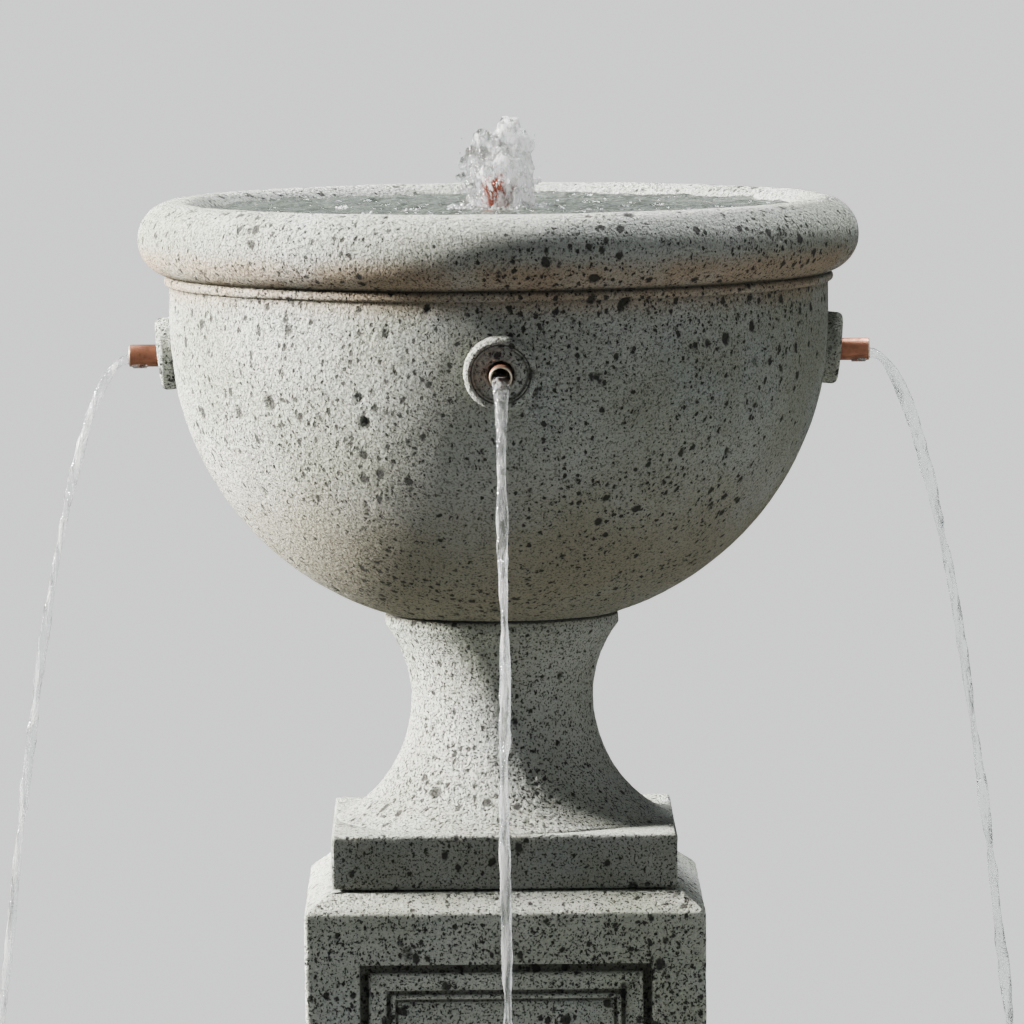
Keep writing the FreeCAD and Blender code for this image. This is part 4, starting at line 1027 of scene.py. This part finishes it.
def scattered(name, level, patches, values):
    # drops over round patches; a patch is (x, y, radius)
    points, faces = [], []
    count = 24
    for x, y, radius in patches:
        first = len(points)
        points.append((x, y, level))
        for i in range(count):
            angle = i * math.pi / (count / 2)
            points.append((x + radius * math.cos(angle), y + radius * math.sin(angle), level))
            faces.append((first, first + 1 + i, first + 1 + (i + 1) % count))
    piece = meshPiece(name, np.array(points) * mm, faces)
    return settle(throughTree(piece, spray, values))


def rippleHeight(x, y, sources, rough):
    rise = rough * noise.fractal(Vector((x / 17, y / 17, 3.7)), 0.6, 2.0, 3)
    for sx, sy, size, length, reach in sources:
        away = math.hypot(x - sx, y - sy)
        wobble = 1.2 * noise.noise(Vector((x / 25, y / 25, sx)))
        rise += size * math.exp(-away / reach) * math.cos(2 * math.pi * away / length + wobble)
    return rise


def waterSheet(kind, sources, finish):
    level, edge, depth = water[kind + "Level"], water[kind + "Edge"], water[kind + "Depth"]
    ringCount, columns, rough = water[kind + "Rings"], water[kind + "Columns"], water[kind + "Rough"]
    angles = np.linspace(0, 2 * math.pi, columns, endpoint=False)
    rings = [[(0, 0, level - depth)]]
    for radius in (edge * 0.5, edge - depth * 0.6, edge):
        low = level - depth if radius < edge else level - depth * 0.4
        rings.append([(radius * math.cos(a), radius * math.sin(a), low) for a in angles])
    for i in range(ringCount, 0, -1):
        radius = edge * i / ringCount
        ring = []
        for a in angles:
            x, y = radius * math.cos(a), radius * math.sin(a)
            ring.append((x, y, level + rippleHeight(x, y, sources, rough)))
        rings.append(ring)
    rings.append([(0, 0, level)])
    piece = skin(kind + "_water", rings, closed=False)
    piece.data.materials.append(finish)
    return settle(piece)


def fallDistance(level):
    return math.sqrt(max(0.0, water["fall"] * (water["streamLevel"] - level)))


tip = spout["length"] + abs(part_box("spout_tube_right")[0][0]) / mm
landing = tip + fallDistance(water["poolLevel"])
turns = [math.radians(angle) for angle in sides.values()]
landings = [(landing * math.cos(turn), landing * math.sin(turn)) for turn in turns]
waterSheet("bowl", water["bowlRipples"], bowlWater)
waterSheet("pool", [place + water["landingRipple"] for place in landings], poolWater)
print("still water made")


stream = {
    "rows": 300,
    "sides": 22,
    "startRows": 4,
    "startStep": 3.2,
    "bunching": 1.35,
    "swell": 0.42,
    "lump": 0.42,
    "flatness": 0.30,
    "sway": 1.6,
    "bend": 14,
}


def makeStream(side, angle, seed):
    w, m = water, stream
    rows, count = m["rows"], m["sides"]
    start, end = w["streamLevel"], w["poolLevel"] - 3
    c, s = math.cos(math.radians(angle)), math.sin(math.radians(angle))
    rings = []
    for i in range(-m["startRows"], rows + 1):
        if i < 0:
            level, reach = start, tip + i * m["startStep"]
        else:
            level = start - (start - end) * (i / rows) ** m["bunching"]
            reach = tip + fallDistance(level)
        drop = start - level
        width = w["narrow"] + (w["wide"] - w["narrow"]) * math.exp(-drop / w["taper"])
        slow = noise.noise(Vector((drop / 46, seed * 5.3, 0)))
        width *= 1 + m["swell"] * slow * min(1, drop / 90)
        twist = drop / 38 + 2.2 * noise.noise(Vector((drop / 70, seed * 3.1, 4)))
        flat = m["flatness"] * min(1, drop / 40)
        swayX = m["sway"] * noise.noise(Vector((drop / 120, seed, 1))) * min(1, drop / 200)
        swayY = m["sway"] * noise.noise(Vector((drop / 120, seed, 7))) * min(1, drop / 200)
        ring = []
        for k in range(count):
            a = 2 * math.pi * k / count
            lump = noise.noise(Vector((2 * math.cos(a), 2 * math.sin(a) + seed, drop / 13)))
            lump = m["lump"] * min(1, drop / 60) * lump
            r = width * (1 + flat * math.cos(2 * (a - twist)) + lump)
            if i < 0:
                across, up = r * math.cos(a), min(r * math.sin(a), 3.0)
                out, z = reach, level + up - 0.4
            else:
                steep = min(1, drop / m["bend"])
                across = r * math.cos(a) + swayX
                out = reach + r * math.sin(a) * steep * 0.9 + swayY
                z = level + r * math.sin(a) * (1 - steep) * 0.6
            ring.append((c * out - s * across, s * out + c * across, z))
        rings.append(ring)
    first, last = ([tuple(np.mean(ring, axis=0))] for ring in (rings[0], rings[-1]))
    rings = [first] + rings + [last]
    piece = skin("water_stream_" + side, rings, closed=False)
    piece.data.materials.append(streamWater)
    return settle(piece)


for number, (side, angle) in enumerate(sides.items()):
    makeStream(side, angle, number + 1)
print("streams made")

jet = {
    # middle x, y, height above the still level, half width, half height
    "lumps": [
        (3, 0, 8, 21, 14), (2, 0, 24, 21, 18), (12, 0, 28, 13, 25), (16, -2, 21, 9.5, 22),
        (-10, 1, 28, 12, 21), (-12, 0, 13, 10, 16), (8.5, 0, 52.5, 9, 12.5), (16, 0, 43, 8.5, 12),
        (-10, 0, 46, 7.5, 11), (0, 0, 42, 9, 10), (-24, -2, 32, 4.0, 5.5), (-19, -2, 36, 5, 7),
        (2, -11, 21, 12, 21), (2, 11, 22, 13, 22), (-16, 0, 3, 9, 5), (17, -3, 4, 9, 6),
    ],
    "drops": 70,
    "seed": 11,
    "spread": (15, 29),
    "size": (1.0, 2.6),
    "stretch": (1, 1.5),
    "reach": 52,
    "voxel": 0.0013,
    "lump": 0.0030,
}


def makeJet():
    level = water["bowlLevel"]
    chance = random.Random(jet["seed"])
    build = bmesh.new()

    def blob(x, y, z, wide, tall, detail=3):
        place = Matrix.Translation(Vector((x, y, level + z)) * mm)
        size = Matrix.Diagonal((wide * mm, wide * mm, tall * mm, 1))
        bmesh.ops.create_icosphere(build, subdivisions=detail, radius=1, matrix=place @ size)

    for lump in jet["lumps"]:
        blob(*lump)
    for i in range(jet["drops"]):
        angle, spread = chance.uniform(0, 2 * math.pi), chance.uniform(*jet["spread"])
        size = chance.uniform(*jet["size"])
        high = chance.uniform(0, jet["reach"]) * (1.25 - spread / 40)
        tall = size * chance.uniform(*jet["stretch"])
        blob(spread * math.cos(angle), spread * math.sin(angle), high, size, tall, 2)
    mesh = bpy.data.meshes.new("water_jet")
    build.to_mesh(mesh)
    build.free()
    piece = bpy.data.objects.new("water_jet", mesh)
    bpy.context.scene.collection.objects.link(piece)
    remesh = piece.modifiers.new("join", "REMESH")
    remesh.mode, remesh.voxel_size = "VOXEL", jet["voxel"]
    applied(piece)
    smooth = piece.modifiers.new("soften", "SMOOTH")
    smooth.factor, smooth.iterations = 0.5, 4
    applied(piece)
    normals = [vertex.normal.copy() for vertex in piece.data.vertices]
    for vertex, normal in zip(piece.data.vertices, normals):
        x, y, z = vertex.co / mm
        lump = noise.noise(Vector((x / 5.5, y / 5.5, z / 10)))
        lump += 0.55 * noise.noise(Vector((x / 2.5, y / 2.5, z / 4.5)))
        moved = vertex.co + normal * lump * jet["lump"]
        moved.z = min(moved.z, (water["jetTop"] + 0.8) * mm)
        vertex.co = moved
    piece.data.materials.append(jetWater)
    return settle(piece)


makeJet()

bubbles = [(-62, -38, 9), (-112, 12, 7), (-88, -80, 8), (-45, -110, 7), (66, -50, 7)]
# level, patches, drops a square metre, smallest, largest and rise in metres, seed, finish
drops = {
    "bowl_froth": (1138.2, [(0, 0, 36), (-24, -12, 12)], 90000.0, 0.0004, 0.0017, 0.002, 4, froth),
    "bowl_bubbles": (1138.1, bubbles, 70000.0, 0.0005, 0.0020, 0.0004, 9, froth),
    "jet_spray": (1139.0, [(0, 0, 42)], 26000.0, 0.0003, 0.0011, 0.055, 2, streamWater),
    "pool_froth": (205.3, [(x, y, 26) for x, y in landings], 55000.0, 0.0006, 0.0034, 0.004, 5, froth),
    "pool_splash": (206.0, [(x, y, 38) for x, y in landings], 14000.0, 0.0004, 0.0016, 0.055, 6, streamWater),
}
for name, (level, patches, *given) in drops.items():
    titles = ("Density", "Smallest", "Largest", "Rise", "Seed", "Finish")
    scattered(name, level, patches, dict(zip(titles, given)))
print("jet and spray made")

# ---- floor, light and camera

studio = {
    "floor": rgb(0.50, 0.50, 0.49),
    "floorPatch": rgb(0.54, 0.54, 0.53),
    "floorRadii": (550.0, 2200.0),
    "skyLight": rgb(0.76, 0.85, 0.89),
    "backdrop": rgb(0.84, 0.85, 0.85),
    "skyStrength": 0.095,
    "backdropStrength": 1.42,
    "aim": (0, 0, 0.85),
}
# place, size in metres, power in watts, spread in degrees, colour
lights = {
    "key": ((-3.03, 0.32, 2.14), 1.1, 60, 28, (1.0, 0.975, 0.93)),
    "fill": ((4.3, -3.9, 1.6), 2.4, 62, 180, (0.93, 0.97, 1.0)),
    "top": ((0.3, 0.9, 3.3), 1.4, 34, 60, (0.95, 0.98, 1.0)),
}
camera = {"place": (-0.022, -6.391, 1.4624), "pitch": 4.839, "yaw": 0.269, "roll": 0.525, "lens": 317.2}


def makeFloor():
    angles = np.linspace(0, 2 * math.pi, 64, endpoint=False)
    rings = [[(r * math.cos(a), r * math.sin(a), 0) for a in angles] for r in studio["floorRadii"]]
    floor = skin("floor", [[(0, 0, 0)]] + rings, closed=False)
    made, tree, at = newMaterial("Pale floor")
    colour = blendOf(tree, noiseOf(tree, at, 1.5, 3.0), studio["floor"], studio["floorPatch"])
    floor.data.materials.append(closeMaterial(made, {"Base Color": colour, "Roughness": 0.85}))


def makeLight(name, place, size, power, spread, colour):
    light = bpy.data.lights.new(name, "AREA")
    light.shape, light.size, light.energy, light.color = "DISK", size, power, colour
    light.spread = math.radians(spread)
    lamp = bpy.data.objects.new(name, light)
    lamp.location = place
    lamp.rotation_euler = (Vector(studio["aim"]) - Vector(place)).to_track_quat("-Z", "Y").to_euler()
    bpy.context.scene.collection.objects.link(lamp)


def makeCamera():
    c = camera
    lens = bpy.data.cameras.new("camera")
    lens.lens, lens.sensor_width, lens.clip_end = c["lens"], 36, 200
    eye = bpy.data.objects.new("camera", lens)
    turns = ((-c["yaw"], "Z"), (90 - c["pitch"], "X"), (-c["roll"], "Z"))
    first, second, third = (Matrix.Rotation(math.radians(angle), 4, axis) for angle, axis in turns)
    eye.matrix_world = Matrix.Translation(c["place"]) @ (first @ second) @ third
    bpy.context.scene.collection.objects.link(eye)
    bpy.context.scene.camera = eye


def makeWorld():
    world = bpy.data.worlds.new("studio")
    world.use_nodes = True
    tree = world.node_tree
    shade = tree.nodes["Background"]
    seen = tree.nodes.new("ShaderNodeLightPath").outputs  # the backdrop is paler than the light it gives
    shown = calc(tree, "MAXIMUM", seen["Is Camera Ray"], seen["Is Transmission Ray"])
    shown = calc(tree, "MAXIMUM", shown, calc(tree, "MULTIPLY", seen["Is Glossy Ray"], 0.5))
    strength = rangeOf(tree, shown, 0.0, 1.0, studio["skyStrength"], studio["backdropStrength"], smooth=False)
    tree.links.new(blendOf(tree, shown, studio["skyLight"], studio["backdrop"]), shade.inputs[0])
    tree.links.new(strength, shade.inputs[1])
    bpy.context.scene.world = world


makeFloor()
for name, settings in lights.items():
    makeLight(name, *settings)
makeWorld()
makeCamera()
print("stage set")
